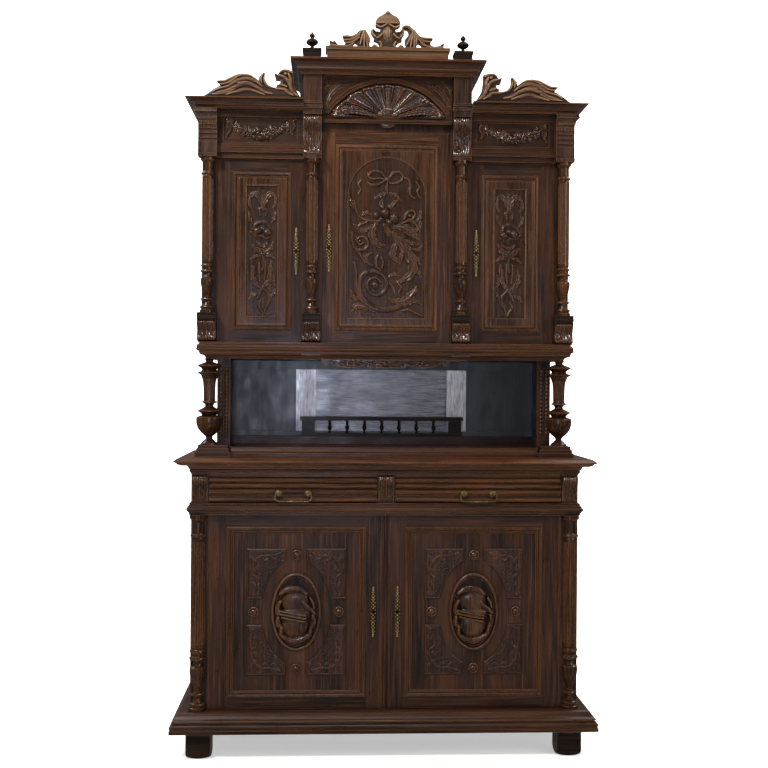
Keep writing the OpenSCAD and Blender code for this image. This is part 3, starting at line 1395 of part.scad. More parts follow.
// The front: a board with reeds that run its whole length, two posts let into it
module drawer_front() {
  h = drawer_h;
  reeds = concat(
    [[0, 0]],
    arc(3, h * 0.1, h * 0.09, -90, 90, 6),
    [[1, h * 0.2], [1, h * 0.27]],
    arc(2, h * 0.38, h * 0.1, -90, 90, 6),
    [[1, h * 0.49]],
    arc(2, h * 0.59, h * 0.09, -90, 90, 6),
    [[1, h * 0.7]],
    arc(3, h * 0.8, h * 0.09, -90, 90, 6),
    [[1, h * 0.91], [1, h], [0, h]]
  );
  color(oak) {
    rotate([90, 0, 90]) linear_extrude(drawer_w)
      polygon(concat([for (q = reeds) [-min(q[0], reed_out + 6), q[1]]], [[board, h], [board, 0]]));
  }
}

// Two rosettes with a drilled post each
module drawer_plates() {
  y = -h_reed() - glue;
  color(brass) translate([drawer_w / 2, y, handle_z - z_drawer - gap]) for (s = [-1, 1])
    translate([s * handle_half, 0, 0]) difference() {
      union() {
        rotate([90, 0, 0]) turned([[13, 0], [13, 1.5], [9, 3], [5, 4], [4.5, 8]]);
        rotate([90, 0, 0]) cylinder(r = 5, h = bail_stand + 5, $fn = 32);
      }
      translate([-10, -bail_stand, 0]) rotate([0, 90, 0]) cylinder(r = bail_r + pin_clear, h = 20, $fn = 32);
    }
}
// How far the reeds stand out
function h_reed() = 2 + drawer_h * 0.1;

// The hanging bail: two pins in the posts, two bent arms and a turned grip
module drawer_bail() {
  drop = 27;
  in = 14;
  r = bail_r;
  x = handle_half + 11;
  g = x - in;
  y = -h_reed() - glue - bail_stand;
  color(brass) translate([drawer_w / 2, y, handle_z - z_drawer - gap]) {
    both() {
      translate([handle_half - 7, 0, 0]) rotate([0, 90, 0]) cylinder(r = r, h = 18, $fn = 32);
      standing(r * 0.8, r * 1.6) polygon(stroke([
        [x - 1, 3, r * 0.9], [x + 1, -6, r], [x + 2, -14, r * 0.9], [x - 3, -22, r * 0.9],
        [g - 1, -drop, r * 0.8]
      ], 3));
    }
    translate([-g, 0, -drop]) rotate([0, 90, 0]) turned([
      [r * 0.8, 0], [r * 0.8, g * 0.3], [r * 1.3, g * 0.34], [r * 1.3, g * 0.4], [r * 0.9, g * 0.46],
      [r * 1.1, g * 0.7], [r * 1.6, g * 0.92], [r * 1.6, g * 1.08], [r * 1.1, g * 1.3], [r * 0.9, g * 1.54],
      [r * 1.3, g * 1.6], [r * 1.3, g * 1.66], [r * 0.8, g * 1.7], [r * 0.8, g * 2]
    ]);
  }
}

module drawer_left_box() { drawer_side_of(-1) drawer_box(); }
module drawer_left_front() { drawer_side_of(-1) drawer_front(); }
module drawer_left_plates() { drawer_side_of(-1) drawer_plates(); }
module drawer_left_bail() { drawer_side_of(-1) drawer_bail(); }
module drawer_right_box() { drawer_side_of(1) drawer_box(); }
module drawer_right_front() { drawer_side_of(1) drawer_front(); }
module drawer_right_plates() { drawer_side_of(1) drawer_plates(); }
module drawer_right_bail() { drawer_side_of(1) drawer_bail(); }

feet();
plinth();
base_shelves();
base_sides();
base_back();
base_face_frame();
upper_shelves();
base_columns();
waist_moulding();
drawer_brackets();
drawer_runners();
bed_moulding();
counter_top();
recess_base();
recess_back();
recess_sides();
recess_columns();
gallery();
apron();
upper_bottom();
upper_uprights();
upper_back();
upper_top();
upper_face_frame();
upper_columns();
column_corbels();
frieze_consoles();
side_friezes();
shell_frieze();
shell();
side_cornices();
centre_cornice();
crest();
finials();
dragons();
base_door_left_frame();
base_door_left_panel();
base_door_left_ornament();
base_door_left_hardware();
base_door_right_frame();
base_door_right_panel();
base_door_right_ornament();
base_door_right_hardware();
upper_door_left_frame();
upper_door_left_panel();
upper_door_left_hardware();
upper_door_centre_frame();
upper_door_centre_panel();
upper_door_centre_hardware();
upper_door_right_frame();
upper_door_right_panel();
upper_door_right_hardware();
drawer_left_box();
drawer_left_front();
drawer_left_plates();
drawer_left_bail();
drawer_right_box();
drawer_right_front();
drawer_right_plates();
drawer_right_bail();
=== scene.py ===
# %% [markdown]
# # A Dutch cupboard in two stages
# The real piece is solid oak: a base with two doors and two drawers, an open recess on turned columns, and
# an upper cabinet with three carved doors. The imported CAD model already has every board, moulding and
# turned column in its place, so this lesson keeps those solids and gives them wood. What a carver cut by
# hand is made here as relief meshes, because such soft forms are easier to shape as heights over a plane.

# %% Load the frame
import math

import bpy
import numpy as np
from mathutils import Matrix, Vector


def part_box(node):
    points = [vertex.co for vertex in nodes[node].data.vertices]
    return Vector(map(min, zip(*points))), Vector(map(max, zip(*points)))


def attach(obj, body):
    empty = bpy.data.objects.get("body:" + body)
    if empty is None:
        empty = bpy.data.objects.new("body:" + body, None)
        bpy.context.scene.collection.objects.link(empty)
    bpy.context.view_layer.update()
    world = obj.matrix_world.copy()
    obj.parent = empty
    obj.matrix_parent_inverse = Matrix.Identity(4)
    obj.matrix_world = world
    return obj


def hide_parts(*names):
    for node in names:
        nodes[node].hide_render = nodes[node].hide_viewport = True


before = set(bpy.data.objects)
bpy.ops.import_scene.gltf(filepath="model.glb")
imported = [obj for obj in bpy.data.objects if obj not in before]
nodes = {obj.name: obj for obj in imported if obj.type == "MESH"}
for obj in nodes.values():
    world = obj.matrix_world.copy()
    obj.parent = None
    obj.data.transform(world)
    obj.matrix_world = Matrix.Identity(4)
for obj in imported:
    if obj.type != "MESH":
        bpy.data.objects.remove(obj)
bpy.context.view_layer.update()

# %% Places in the CAD model
def box_mm(name):
    """The lowest and the highest corner of a CAD node in mm."""
    return [[round(v * 1000, 2) for v in corner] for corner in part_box(name)]


sides = (("left", -1), ("right", 1))
lower_plate = box_mm("base_door_left_hardware")[0][1]
upper_plate = box_mm("upper_door_left_hardware")[0][1]
upper_face = box_mm("upper_face_frame")[0][1]
print("the lower doors stand", upper_plate - lower_plate, "mm in front of the upper ones")

# %% [markdown]
# ## Camera
# The photograph was taken from about four metres with a slightly long lens, at chest height and a little
# left of the middle. Its upright lines stay parallel, so the camera doesn't tilt. The place, the turn and
# the lens were found by fitting the tips of the plinth, counter, cornices, finials and crest.

# %% Camera
lens_px = 1127.9
frame_px = 768
film_mm = 36
camera_place = (-0.211, -4.375, 1.370)
yaw, pitch, roll = (math.radians(a) for a in (2.75, 0.0, 0.40))
camera_data = bpy.data.cameras.new("camera")
camera_data.sensor_width = film_mm
camera_data.lens = lens_px / frame_px * film_mm
camera = bpy.data.objects.new("camera", camera_data)
bpy.context.scene.collection.objects.link(camera)
camera.matrix_world = (
    Matrix.Translation(camera_place)
    @ Matrix.Rotation(-yaw, 4, "Z")
    @ Matrix.Rotation(math.pi / 2 + pitch, 4, "X")
    @ Matrix.Rotation(roll, 4, "Z")
)
bpy.context.scene.camera = camera
print("lens %.1f mm" % camera_data.lens)

# %% [markdown]
# ## Tools for materials
# Every finish below is a small tree of nodes. One function turns the colours, which are written as sRGB
# hex, to the linear values that the renderer works in. Another adds a node, sets it and links it.

# %% Colour and nodes
def linear(hex_colour):
    """An sRGB hex colour as linear RGBA."""
    parts = [int(hex_colour[i:i + 2], 16) / 255 for i in (1, 3, 5)]
    return tuple(c / 12.92 if c <= 0.04045 else ((c + 0.055) / 1.055) ** 2.4 for c in parts) + (1.0,)


def add(tree, kind, inputs=None, **settings):
    """Adds one node, sets its properties and gives each input a link, a hex colour or a value."""
    made = tree.nodes.new(kind)
    for key, value in settings.items():
        setattr(made, key, value)
    for key, value in (inputs or {}).items():
        socket = made.inputs[key]
        if isinstance(value, bpy.types.NodeSocket):
            tree.links.new(value, socket)
        else:
            socket.default_value = linear(value) if isinstance(value, str) else value
    return made


def new_material(name):
    """An empty material and its Principled shader, already joined to the output."""
    made = bpy.data.materials.new(name)
    made.use_nodes = True
    return made, made.node_tree.nodes["Principled BSDF"]


print("white is", linear("#ffffff"))

# %% [markdown]
# ## Studio
# A pale floor runs up into a pale wall, as a roll of paper does in a photographer's studio. In the
# photograph the flat back of the recess and every turned bulb mirror a soft light close to the camera, so
# one stands there. A larger one stands high in front, a weaker one fills from the right, one above picks
# out the edges of the mouldings, and two behind the cupboard keep the paper white. The paper has one side
# only: from behind it is left out, so that the cupboard's back can be looked at.

# %% Paper
paper, paper_shader = new_material("matt_paper_backdrop")
paper_fibre = add(paper.node_tree, "ShaderNodeTexNoise", {"Scale": 3.0, "Detail": 3.0})
paper_tone = add(paper.node_tree, "ShaderNodeMix", {
    "Factor": paper_fibre.outputs["Fac"], 6: "#f6f6f5", 7: "#ffffff"}, data_type="RGBA")
paper.node_tree.links.new(paper_tone.outputs[2], paper_shader.inputs["Base Color"])
paper_shader.inputs["Roughness"].default_value = 0.9
paper_shader.inputs["Specular IOR Level"].default_value = 0.1
# a little light of its own, as paper lit from below has, keeps it pale under the dark wood
paper_shader.inputs["Emission Color"].default_value = linear("#ffffff")
paper_shader.inputs["Emission Strength"].default_value = 0.42
from_behind = add(paper.node_tree, "ShaderNodeNewGeometry").outputs["Backfacing"]
clear = add(paper.node_tree, "ShaderNodeBsdfTransparent")
one_sided = add(paper.node_tree, "ShaderNodeMixShader", {
    "Fac": from_behind, 1: paper_shader.outputs[0], 2: clear.outputs[0]})
paper_output = paper.node_tree.nodes["Material Output"]
paper.node_tree.links.new(one_sided.outputs[0], paper_output.inputs["Surface"])
print("paper:", paper.name)

# %% Floor and world
paper_half = 24.0
paper_front, paper_top = -16.0, 16.0
bend_from, bend = 2.2, 1.8
bend_angles = np.linspace(0.1, math.pi / 2, 12)
sweep = [(y, 0.0) for y in (paper_front, -3.0, bend_from)]
sweep += [(bend_from + bend * math.sin(a), bend - bend * math.cos(a)) for a in bend_angles]
sweep += [(bend_from + bend, paper_top)]
floor_mesh = bpy.data.meshes.new("studio_floor")
floor_mesh.from_pydata(
    [(x, y, z) for y, z in sweep for x in (-paper_half, paper_half)],
    [],
    [(2 * i, 2 * i + 1, 2 * i + 3, 2 * i + 2) for i in range(len(sweep) - 1)],
)
floor_mesh.polygons.foreach_set("use_smooth", [True] * len(floor_mesh.polygons))
floor = bpy.data.objects.new("studio_floor", floor_mesh)
floor.data.materials.append(paper)
bpy.context.scene.collection.objects.link(floor)
# the cupboard stood in a darker room, so its wax mirrors the world and the lamps but not the paper
floor.visible_glossy = False
world = bpy.data.worlds.new("studio")
world.use_nodes = True
world.node_tree.nodes["Background"].inputs["Color"].default_value = linear("#ffffff")
world.node_tree.nodes["Background"].inputs["Strength"].default_value = 0.16
bpy.context.scene.world = world
bpy.context.scene.view_settings.view_transform = "Standard"
print("floor points:", len(floor_mesh.vertices))

# %% Lights
# each has its place, what it aims at, its size in metres, its watts and its colour
for name, place, aim, size_m, power, tint in (
    ("by_the_camera", (-0.42, -4.3, 1.30), (-0.2, 0.0, 1.3), 0.42, 23, "#d8e2ff"),
    ("key", (-2.3, -2.7, 4.5), (0.0, 0.0, 1.4), 0.7, 190, "#fff8f0"),
    ("fill", (3.2, -3.2, 2.6), (0.0, 0.0, 1.3), 1.0, 45, "#fff8f0"),
    ("top", (0.3, -1.7, 5.0), (0.0, 0.0, 1.4), 1.0, 30, "#ffffff"),
    ("paper_left", (-3.4, 1.2, 5.2), (-1.2, 4.0, 1.6), 3.0, 260, "#ffffff"),
    ("paper_right", (3.4, 1.2, 5.2), (1.2, 4.0, 1.6), 3.0, 260, "#ffffff"),
):
    lamp_data = bpy.data.lights.new(name, "AREA")
    lamp_data.size = size_m
    lamp_data.energy = power
    lamp_data.color = linear(tint)[:3]
    lamp = bpy.data.objects.new(name, lamp_data)
    lamp.location = place
    lamp.rotation_euler = (Vector(aim) - Vector(place)).to_track_quat("-Z", "Y").to_euler()
    bpy.context.scene.collection.objects.link(lamp)
    print(name, power, "W")

# %% [markdown]
# ## Waxed oak
# Old oak furniture was stained dark, then waxed for a century. Up close it shows fine pores that run with
# the grain, broader bands from the yearly rings, pale flecks where the saw met the rays, a soft gloss on
# flat faces and brown wax that stays in the hollows. Here the hollows are darkened further as painted
# shade, and edges and carved crests are paled by a painted highlight. Each of those is one layer of this
# material, with its scale taken from the real size in millimetres. Pores are a fifth of a millimetre wide,
# which is too fine to show here, so they are drawn 1.1 mm wide.

# %% Grain
def grain_vector(tree, along, rails=None):
    """Coordinates in mm with the grain along Z, turned so that it runs along X, Y or Z.

    Outside the first two z of rails, and between its two x, it runs along X."""
    here = add(tree, "ShaderNodeTexCoord").outputs["Object"]
    mm = add(tree, "ShaderNodeVectorMath", {0: here, "Scale": 1000.0}, operation="SCALE")
    parts = add(tree, "ShaderNodeSeparateXYZ", {0: mm.outputs[0]})
    order = {"x": ("Z", "Y", "X"), "y": ("X", "Z", "Y"), "z": ("X", "Y", "Z")}
    turned = [
        add(tree, "ShaderNodeCombineXYZ", {i: parts.outputs[axis] for i, axis in enumerate(order[way])})
        for way in (along, "x")
    ]
    if rails is None:
        return turned[0].outputs[0]
    low, high, left, right = rails
    marks = [
        add(tree, "ShaderNodeMath", {0: parts.outputs[axis], 1: limit}, operation=operation).outputs[0]
        for axis, operation, limit in (
            ("Z", "LESS_THAN", low), ("Z", "GREATER_THAN", high),
            ("X", "GREATER_THAN", left), ("X", "LESS_THAN", right),
        )
    ]
    ends = add(tree, "ShaderNodeMath", {0: marks[0], 1: marks[1]}, operation="MAXIMUM")
    inside = add(tree, "ShaderNodeMath", {0: marks[2], 1: marks[3]}, operation="MULTIPLY")
    both = add(tree, "ShaderNodeMath", {0: ends.outputs[0], 1: inside.outputs[0]}, operation="MULTIPLY")
    mixed = add(tree, "ShaderNodeMix", {
        "Factor": both.outputs[0], 4: turned[0].outputs[0], 5: turned[1].outputs[0]}, data_type="VECTOR")
    return mixed.outputs[1]


print("grain runs along x, y or z")

# %% Spots and layers
def spots(tree, vector, width_mm, length_mm, detail=3.0, seed=0.0):
    """A pattern whose spots are so many mm wide across the grain and so long with it."""
    scaled = add(tree, "ShaderNodeVectorMath", {
        0: vector,
        1: (1 / width_mm, 1 / width_mm, 1 / length_mm),
        2: (seed, seed * 0.7, seed * 1.3),
    }, operation="MULTIPLY_ADD")
    noise = add(tree, "ShaderNodeTexNoise", {"Vector": scaled.outputs[0], "Scale": 1.0, "Detail": detail})
    return noise.outputs["Fac"]


def layer(tree, mask, low, high, share, under, over):
    """Lays a colour over another where a mask runs from low to high, at most by the given share."""
    # a mix node takes its two colours at sockets 6 and 7, and two vectors at 4 and 5
    amount = add(tree, "ShaderNodeMapRange", {
        "Value": mask, "From Min": low, "From Max": high, "To Min": 0.0, "To Max": share})
    mixed = add(tree, "ShaderNodeMix", {"Factor": amount.outputs[0], 6: under, 7: over}, data_type="RGBA")
    return mixed.outputs[2]


print("each finish is built of spots and layers")

# %% Oak
wax_and_shade_reach_m = 0.016
rubbed_and_lit_edge_m = 0.0022
pore_depth_m = 0.0005


def oak(name, along="z", rails=None, dark="#140b06", mid="#321d0f", light="#563017", edge="#9a663a",
        wax_and_shade="#0a0503", gloss=0.34, shine=0.25, wear_and_highlight=0.45, crest_highlight=0.0, tool_marks=0.0, seed=0.0):
    """Stained and waxed oak with painted shade in its hollows. Edges are rubbed pale and paled further by a
    painted highlight, crests get a painted highlight, tool_marks are in mm.
    """
    made, shader = new_material(name)
    tree = made.node_tree
    vector = grain_vector(tree, along, rails)
    rings = spots(tree, vector, width_mm=5.0, length_mm=180.0, detail=5.0, seed=seed)
    pores = spots(tree, vector, width_mm=1.1, length_mm=20.0, detail=2.0, seed=seed + 3)
    fleck = spots(tree, vector, width_mm=4.0, length_mm=22.0, detail=1.0, seed=seed + 9)
    board = spots(tree, vector, width_mm=90.0, length_mm=700.0, detail=2.0, seed=seed + 5)
    colour = layer(tree, rings, 0.38, 0.62, 0.90, dark, mid)
    colour = layer(tree, board, 0.42, 0.75, 0.42, colour, light)
    colour = layer(tree, rings, 0.56, 0.72, 0.45, colour, light)
    colour = layer(tree, fleck, 0.62, 0.74, 0.16, colour, light)
    colour = layer(tree, pores, 0.55, 0.68, 0.60, colour, dark)
    # brown wax in the hollows, darkened much further as painted shade where ambient occlusion finds them
    # closed in
    hollow = add(tree, "ShaderNodeAmbientOcclusion", {"Distance": wax_and_shade_reach_m}, samples=6)
    colour = layer(tree, hollow.outputs["AO"], 0.92, 0.38, 0.92, colour, wax_and_shade)
    # edges rubbed pale by hands and dusters, and paled further as a painted highlight
    rounded = add(tree, "ShaderNodeBevel", {"Radius": rubbed_and_lit_edge_m}, samples=4)
    flat = add(tree, "ShaderNodeNewGeometry").outputs["Normal"]
    turn = add(tree, "ShaderNodeVectorMath", {0: rounded.outputs[0], 1: flat}, operation="DOT_PRODUCT")
    broken = add(tree, "ShaderNodeMath", {0: turn.outputs["Value"], 1: 0.985}, operation="SUBTRACT")
    uneven = add(tree, "ShaderNodeMath", {0: broken.outputs[0], 1: rings}, operation="MULTIPLY")
    colour = layer(tree, uneven.outputs[0], 0.0, -0.06, wear_and_highlight, colour, edge)
    if crest_highlight:
        # the crests of the carving are paled as a painted highlight; pointiness rises over 0.5 on them
        lit_crests = add(tree, "ShaderNodeNewGeometry").outputs["Pointiness"]
        colour = layer(tree, lit_crests, 0.515, 0.60, crest_highlight, colour, edge)
        # painted shade on the low ground between carved forms: each relief stores how high it stands over its
        # ground, and the lowest parts take the dark wax colour
        rise = add(tree, "ShaderNodeAttribute", attribute_name="rise_mm").outputs["Fac"]
        colour = layer(tree, rise, 4.5, 0.6, 0.75, colour, wax_and_shade)
    tree.links.new(colour, shader.inputs["Base Color"])
    smear = spots(tree, vector, width_mm=40.0, length_mm=90.0, detail=3.0, seed=seed + 11)
    rough = add(tree, "ShaderNodeMapRange", {
        "Value": smear, "From Min": 0.3, "From Max": 0.7, "To Min": gloss - 0.07, "To Max": gloss + 0.14})
    tree.links.new(rough.outputs[0], shader.inputs["Roughness"])
    shader.inputs["IOR"].default_value = 1.5
    shader.inputs["Specular IOR Level"].default_value = shine
    shader.inputs["Coat Weight"].default_value = 0.06
    shader.inputs["Coat Roughness"].default_value = 0.18
    height = add(tree, "ShaderNodeMath", {0: pores, 1: rings}, operation="SUBTRACT")
    bump = add(tree, "ShaderNodeBump", {
        "Height": height.outputs[0], "Strength": 0.35, "Distance": pore_depth_m})
    if tool_marks:
        marks = spots(tree, vector, width_mm=5.0, length_mm=9.0, detail=2.0, seed=seed + 17)
        bump = add(tree, "ShaderNodeBump", {
            "Height": marks, "Normal": bump.outputs[0], "Strength": 0.6, "Distance": tool_marks / 1000})
    tree.links.new(bump.outputs[0], shader.inputs["Normal"])
    return made


# the same reach sets how far the painted shade in the hollows spreads
print("wax lies in hollows less than", wax_and_shade_reach_m * 1000, "mm wide")

# %% Oak finishes
oak_upright = oak("waxed_oak_upright_grain", "z")
oak_long = oak("waxed_oak_grain_along_the_front", "x", seed=2.0, wear_and_highlight=0.6)
oak_cut = oak("carved_waxed_oak", "z", wear_and_highlight=0.6, gloss=0.28, seed=6.0, tool_marks=0.3, mid="#38241a",
              light="#563824", edge="#9a6e4a", shine=0.35)
oak_relief = oak("carved_oak_with_painted_highlights_on_its_crests", "z", wear_and_highlight=0.3, gloss=0.28, seed=6.0, tool_marks=0.3,
                 dark="#170d08", mid="#3e2515", light="#603c22", edge="#94683f", shine=0.3, crest_highlight=0.55)
oak_glossy = oak("carved_oak_polished_by_hands", "z", wear_and_highlight=0.5, gloss=0.18, seed=16.0, tool_marks=0.2,
                 mid="#321e11", light="#52321c", edge="#86593a", shine=0.45, crest_highlight=0.4)
oak_shell = oak("carved_oak_waxed_to_a_shine", "z", wear_and_highlight=0.5, gloss=0.17, seed=16.0, tool_marks=0.2,
                mid="#3c2618", light="#5e3e28", edge="#8e6848", shine=0.9, crest_highlight=0.5)
oak_turned = oak("turned_waxed_oak", "z", mid="#361f0d", light="#5e3616", gloss=0.22, seed=7.0, shine=0.28)
oak_warm = oak("waxed_oak_of_the_drawers", "x", dark="#1a0f08", mid="#46260e", light="#6e3c16",
               edge="#a06a3a", wear_and_highlight=0.6, seed=11.0, shine=0.3)
# the crest and the beasts are given a paler oak
oak_bright = oak("pale_carved_oak_of_the_top", "x", dark="#2e1c10", mid="#5c3e28", light="#82603f",
                 edge="#b58a62", wear_and_highlight=0.6, seed=12.0, tool_marks=0.3, shine=0.3)
oak_beast = oak("pale_carved_oak_with_painted_highlights_on_its_crests", "x", dark="#2e1c10", mid="#66442a", light="#8e6846",
                edge="#c9a27a", wear_and_highlight=0.3, seed=12.0, tool_marks=0.3, shine=0.3, crest_highlight=0.7)
oak_red = oak("punched_oak_of_the_plaques", "z", dark="#1c0f08", mid="#3c2012", light="#58341c",
              edge="#8a5c38", wear_and_highlight=0.3, seed=14.0, tool_marks=0.4, shine=0.3, crest_highlight=0.25)
oak_dark = oak("darkest_waxed_oak", "x", dark="#0d0704", mid="#20130a", light="#33200f", edge="#6a4628",
               gloss=0.38, seed=18.0, shine=0.15)
oak_plain = oak("plain_inside_oak", "x", dark="#4a3018", mid="#6e4c2c", light="#8a6540", edge="#a88458",
                gloss=0.55, wear_and_highlight=0.2, seed=8.0, wax_and_shade="#2a1a0e")


print("materials so far:", len(bpy.data.materials))

# %% Oak of the recess
stile_inner, stile_outer = 268.0, 348.0
recess_middle, recess_reach = 1302.0, 125.0
everywhere = 9999.0


def recess_oak(name):
    """The framed back of the recess: dull side panels, a smoother middle panel and smooth stiles. Its grey is
    a painted reflection, paler on the middle panel and palest on the stiles.
    """
    across_inside = (everywhere, everywhere, -stile_inner, stile_inner)
    made = oak(name, "z", across_inside, dark="#15100e", mid="#28201d", light="#38302c",
               edge="#5c4c42", gloss=0.40, wear_and_highlight=0.3, seed=15.0, shine=0.8)
    tree = made.node_tree
    shader = tree.nodes["Principled BSDF"]
    vector = grain_vector(tree, "z")
    parts = add(tree, "ShaderNodeSeparateXYZ", {0: vector})
    off = add(tree, "ShaderNodeMath", {0: parts.outputs["X"]}, operation="ABSOLUTE").outputs[0]
    colour = shader.inputs["Base Color"].links[0].from_socket
    rough = shader.inputs["Roughness"].links[0].from_socket
    grain = spots(tree, grain_vector(tree, "x"), width_mm=2.6, length_mm=60.0, detail=4.0, seed=31.0)
    stripes = spots(tree, vector, width_mm=2.6, length_mm=40.0, detail=4.0, seed=33.0)
    between = add(tree, "ShaderNodeMath", {
        0: parts.outputs["Z"], 1: recess_middle, 2: recess_reach}, operation="COMPARE").outputs[0]
    within = []
    for limit in (stile_inner, stile_outer):
        close = add(tree, "ShaderNodeMath", {0: off, 1: limit}, operation="LESS_THAN")
        both = add(tree, "ShaderNodeMath", {0: close.outputs[0], 1: between}, operation="MULTIPLY")
        within.append(both.outputs[0])
    middle, near = within
    stile = add(tree, "ShaderNodeMath", {0: near, 1: middle}, operation="SUBTRACT").outputs[0]
    # the pale grey of the middle panel and the stiles is a painted reflection
    reflection_on_middle = layer(tree, grain, 0.35, 0.65, 1.0, "#46444a", "#9c9aa2")
    reflection_on_stile = layer(tree, stripes, 0.35, 0.62, 1.0, "#989598", "#f0eef4")
    colour = layer(tree, middle, 0.0, 1.0, 0.9, colour, reflection_on_middle)
    colour = layer(tree, stile, 0.0, 1.0, 0.9, colour, reflection_on_stile)
    tree.links.new(colour, shader.inputs["Base Color"])
    polish = add(tree, "ShaderNodeMapRange", {
        "Value": near, "From Min": 0.0, "From Max": 1.0, "To Min": 0.0, "To Max": -0.16})
    smoother = add(tree, "ShaderNodeMath", {0: rough, 1: polish.outputs[0]}, operation="ADD")
    tree.links.new(smoother.outputs[0], shader.inputs["Roughness"])
    return made


oak_grey = recess_oak("grey_oak_of_the_recess_with_painted_reflections")
print("recess finish:", oak_grey.name)

# %% [markdown]
# ## Old brass and iron
# The lock plates and drawer handles are cast brass that was lacquered and has gone brown in the hollows;
# the raised parts are rubbed bright. The lock cases and pivots behind the doors are plain forged iron, so
# one finish turns from brass to iron a little way behind the front of the plate.

# %% Metals
iron_behind = 4.7


def metal(name, bright, tarnish, low, high, seed, plate=None):
    """A metal with dull patches of tarnish, whose roughness runs from low to high.

    A lock's metal turns to iron a little way behind the front of its plate, which is a y in mm."""
    made, shader = new_material(name)
    tree = made.node_tree
    vector = grain_vector(tree, "z")
    patch = spots(tree, vector, width_mm=6.0, length_mm=6.0, detail=4.0, seed=seed)
    colour = layer(tree, patch, 0.40, 0.65, 0.9, bright, tarnish)
    hollow = add(tree, "ShaderNodeAmbientOcclusion", {"Distance": 0.004}, samples=6)
    colour = layer(tree, hollow.outputs["AO"], 0.8, 0.3, 0.8, colour, "#2a1c0c")
    if plate is not None:
        parts = add(tree, "ShaderNodeSeparateXYZ", {0: vector})
        iron_from = plate + iron_behind
        colour = layer(tree, parts.outputs["Y"], iron_from, iron_from + 0.5, 1.0, colour, "#35302d")
    tree.links.new(colour, shader.inputs["Base Color"])
    rough = add(tree, "ShaderNodeMapRange", {
        "Value": patch, "From Min": 0.3, "From Max": 0.7, "To Min": low, "To Max": high})
    tree.links.new(rough.outputs[0], shader.inputs["Roughness"])
    shader.inputs["Metallic"].default_value = 1.0
    bump = add(tree, "ShaderNodeBump", {"Height": patch, "Strength": 0.3, "Distance": 0.0003})
    tree.links.new(bump.outputs[0], shader.inputs["Normal"])
    return made


brass = metal("rubbed_cast_brass", "#f6dfa4", "#c9a25c", low=0.4, high=0.55, seed=1.0)
brass_dark = metal("browned_cast_brass", "#86704a", "#4a3922", low=0.35, high=0.55, seed=2.0)
base_lock = metal("browned_brass_with_iron_lock_below", "#3c2c16", "#1c1209", low=0.35, high=0.6,
                  seed=1.0, plate=lower_plate)
upper_lock = metal("browned_brass_with_iron_lock_above", "#3c2c16", "#1c1209", low=0.35, high=0.6,
                   seed=3.0, plate=upper_plate)
print("metals:", 4)

# %% Finish each CAD node
finish_of = {}
inside_boards = ("base_shelves", "base_back", "upper_shelves", "drawer_runners", "upper_back", "upper_top")
for name in nodes:
    if name.endswith(("_bail", "_plates")):
        finish_of[name] = brass_dark
    elif name.endswith("_hardware"):
        finish_of[name] = base_lock if name.startswith("base") else upper_lock
    elif name.endswith("_box") or name in inside_boards:
        finish_of[name] = oak_plain
    elif name in ("plinth", "waist_moulding", "bed_moulding", "side_friezes", "recess_base", "upper_bottom",
                  "side_cornices", "centre_cornice", "shell_frieze"):
        finish_of[name] = oak_long
    elif name.endswith("_front") or name == "counter_top":
        finish_of[name] = oak_warm
    elif name in ("dragons", "crest"):
        finish_of[name] = oak_bright
    elif name in ("base_columns", "upper_columns", "recess_columns"):
        finish_of[name] = oak_turned
    elif name in ("gallery", "finials", "feet", "column_corbels"):
        finish_of[name] = oak_dark
    elif name in ("drawer_brackets", "apron", "frieze_consoles", "shell"):
        finish_of[name] = oak_cut
    elif name.endswith("_ornament") or name.startswith("upper_door") and name.endswith("_panel"):
        finish_of[name] = oak_cut
    elif name == "recess_back":
        finish_of[name] = oak_grey
    else:
        finish_of[name] = oak_upright


print("finishes chosen:", len(finish_of))

# %% Dress the CAD nodes
def dress(name, material):
    """Gives a CAD node one material in every slot."""
    mesh = nodes[name].data
    if not mesh.materials:
        mesh.materials.append(material)
    for i in range(len(mesh.materials)):
        mesh.materials[i] = material


for number, name in enumerate(sorted(n for n in nodes if n.endswith("_frame") and "door" in n)):
    low, high = box_mm(name)
    # the grain turns where the rails meet the stiles
    rail_w, stile_w = (43, 62) if name.startswith("base") else (46, 46)
    rails = (low[2] + rail_w, high[2] - rail_w, low[0] + stile_w, high[0] - stile_w)
    # the centre door was cut from a warmer and paler board than the others
    mid, light = ("#452915", "#6c4222") if "centre" in name else ("#321d0f", "#563017")
    finish_of[name] = oak("waxed_oak_" + name, "z", rails, mid=mid, light=light, seed=10.0 + number)
for name, material in finish_of.items():
    dress(name, material)
print("finished nodes:", len(finish_of))

# %% [markdown]
# ## Relief as heights over a plane
# A carver draws the ornament on the board, cuts the ground away round it and then rounds each leaf and
# stem. The same can be done with numbers: a grid of points over the board, each with a height. A stem is
# a smooth line with a half width at each point; the height falls off across it as on a round rod. A leaf
# has a hollow face, a rib along its middle and lobes cut into its edge. Where two forms cross, the higher
# one wins, just as on the real carving.

# %% Height field
class Relief:
    """Heights in mm over a grid of x and z, which are in mm too."""

    def __init__(self, x, z):
        self.x = np.asarray(x, float)
        self.z = np.asarray(z, float)
        self.h = np.zeros((len(self.z), len(self.x)))

    def grid(self):
        """The x and z of every point."""
        return np.meshgrid(self.x, self.z)

    def raise_to(self, place, height, inside):
        """Lifts the points inside a form to its height, where they are lower."""
        part = self.h[place]
        self.h[place] = np.where(inside, np.maximum(part, height), part)


print("a relief is a grid of heights")

